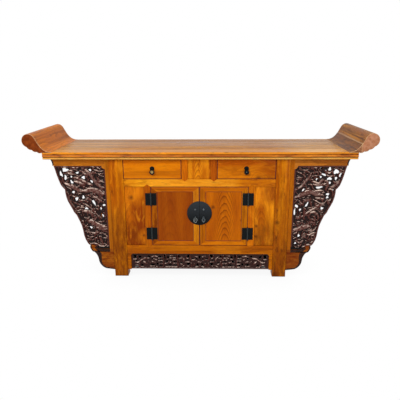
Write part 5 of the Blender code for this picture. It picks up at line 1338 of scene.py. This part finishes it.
# %% Lock plate
LOCK_HEIGHT, HALF_GAP, STANDING_OUT = 0.43125, 0.00075, -0.2436
DOME = (
    (0.0005, -0.2452), (0.016, -0.2451), (0.032, -0.2448), (0.046, -0.2444), (0.058, -0.2440),
    (0.068, -0.2436), (0.0735, -0.2432), (0.0772, -0.2422), (0.0772, -0.2403), (0.0005, -0.2403),
)
for side, sign in SIDES.items():
    bm = bmesh.new()
    start = bm.faces.new([bm.verts.new((0, y, LOCK_HEIGHT + r)) for r, y in DOME])
    bmesh.ops.spin(
        bm, geom=[start] + start.edges[:] + start.verts[:], axis=(0, 1, 0), cent=(0, 0, LOCK_HEIGHT),
        angle=sign * math.pi, steps=36,
    )
    for vert in bm.verts:
        vert.co.x = sign * max(abs(vert.co.x), HALF_GAP)
    bmesh.ops.recalc_face_normals(bm, faces=bm.faces[:])
    add_piece("lock_dome_" + side, bm, [plate_iron], "door_" + side)

    bm = clean_copy("medallion_" + side)
    for face in bm.faces:
        face.material_index = int(face.calc_center_median().y < STANDING_OUT)
    dress("lock_plate_" + side, bm, [plate_iron, grey_iron], "medallion_" + side)
print("dome", 2000 * DOME[-2][0], "mm wide")

# %% [markdown]
# The pendants of the lock plate are flat drops, with a bright rim rubbed by fingers and painted as a
# highlight, strong on the left and faint on the right: their front is inset and sunk a little. The pulls of
# the drawers are cast, with a round boss on the disc. The left boss is the larger, in brass; the right one
# is grey iron, painted lighter as its faint highlight.

# %% Pendants and pulls
PENDANT_RIM, SUNK = 0.0022, -0.0006
BOSS_DEPTH, BOSS_TAPER, BOSS_RISE = 0.002, 0.75, 1.1
LOOKS_FORWARD, ONE_PLANE = -0.95, 0.0003
# The bright and grey irons paint highlights: strongly on the left pendant's rim, faintly on the right pendant
# and the right boss.
PENDANT_IRON = {"left": (black_iron, bright_iron), "right": (grey_iron, worn_iron_highlight)}
BOSS = {"left": (0.7, dull_brass), "right": (0.3, grey_iron)}


def forward_faces(bm):
    """The faces that look forward, in the plane of the largest of them."""
    forward = [f for f in bm.faces if f.normal.y < LOOKS_FORWARD]
    plane = max(forward, key=lambda f: f.calc_area()).calc_center_median().y
    return [f for f in forward if abs(f.calc_center_median().y - plane) < ONE_PLANE]


for side in SIDES:
    bm = clean_copy("medallion_pendant_" + side)
    rim = bmesh.ops.inset_region(
        bm, faces=forward_faces(bm), thickness=PENDANT_RIM, depth=SUNK, use_even_offset=True
    )
    for face in rim["faces"]:
        face.material_index = 1
    dress("rubbed_pendant_" + side, bm, PENDANT_IRON[side], "medallion_pendant_" + side)

    bm = clean_copy("pull_drop_" + side)
    low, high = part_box("pull_drop_" + side)
    disc = (high.x - low.x) / 2
    front = forward_faces(bm)[0].calc_center_median().y
    middle = Matrix.Translation(((low.x + high.x) / 2, front, low.z + disc * BOSS_RISE))
    share, boss_finish = BOSS[side]
    wide = disc * share
    boss = bmesh.ops.create_cone(
        bm, cap_ends=True, segments=28, radius1=wide, radius2=wide * BOSS_TAPER, depth=BOSS_DEPTH,
        matrix=middle @ Matrix.Rotation(math.pi / 2, 4, "X"),
    )
    for face in {f for v in boss["verts"] for f in v.link_faces}:
        face.material_index = 1
    dress("cast_drop_" + side, bm, (black_iron, boss_finish), "pull_drop_" + side)
    print("pull", side, "boss", round(2000 * wide, 1), "mm wide")

# %% [markdown]
# Hinge leaves are plain iron with filed edges, three nails each, and a barrel rubbed by use and painted
# lighter as its highlight line. The nails are flattened spheres: a hammer leaves such a head, and it catches
# one small light.

# %% Hinges
HINGE_LINE, BARREL, BARREL_FRONT = 0.30125, 0.0056, -0.2440
HINGE_HEIGHTS = {"lower": 0.2955, "upper": 0.521}
NAIL_OUT, NAIL_RISES, NAIL_RADIUS, NAIL_DEPTH = 0.023, (-0.027, 0.0, 0.027), 0.0034, -0.2430
FLATTENED = Matrix.Diagonal((1, 0.42, 1, 1))

hinges = 0
for side, sign in SIDES.items():
    for level, height in HINGE_HEIGHTS.items():
        for leaf, away in (("hinge_post_leaf", sign), ("hinge_door_leaf", -sign)):
            node = f"{leaf}_{side}_{level}"
            bm = clean_copy(node)
            round_off(bm, long_edges(bm, shortest=0.02), width=0.0006, segments=1, clamp=True)
            for face in bm.faces:
                middle = face.calc_center_median()
                # The barrel faces take the lighter iron, as the painted highlight line of the barrel.
                rub_and_highlight = abs(abs(middle.x) - HINGE_LINE) < BARREL and middle.y < BARREL_FRONT
                face.material_index = int(rub_and_highlight)
            for rise in NAIL_RISES:
                nail = Matrix.Translation((sign * HINGE_LINE + away * NAIL_OUT, NAIL_DEPTH, height + rise))
                bmesh.ops.create_uvsphere(
                    bm, u_segments=12, v_segments=8, radius=NAIL_RADIUS, matrix=nail @ FLATTENED
                )
            dress("filed_" + node, bm, [black_iron, worn_iron_highlight], node)
            hinges += 1
print("hinge leaves", hinges)
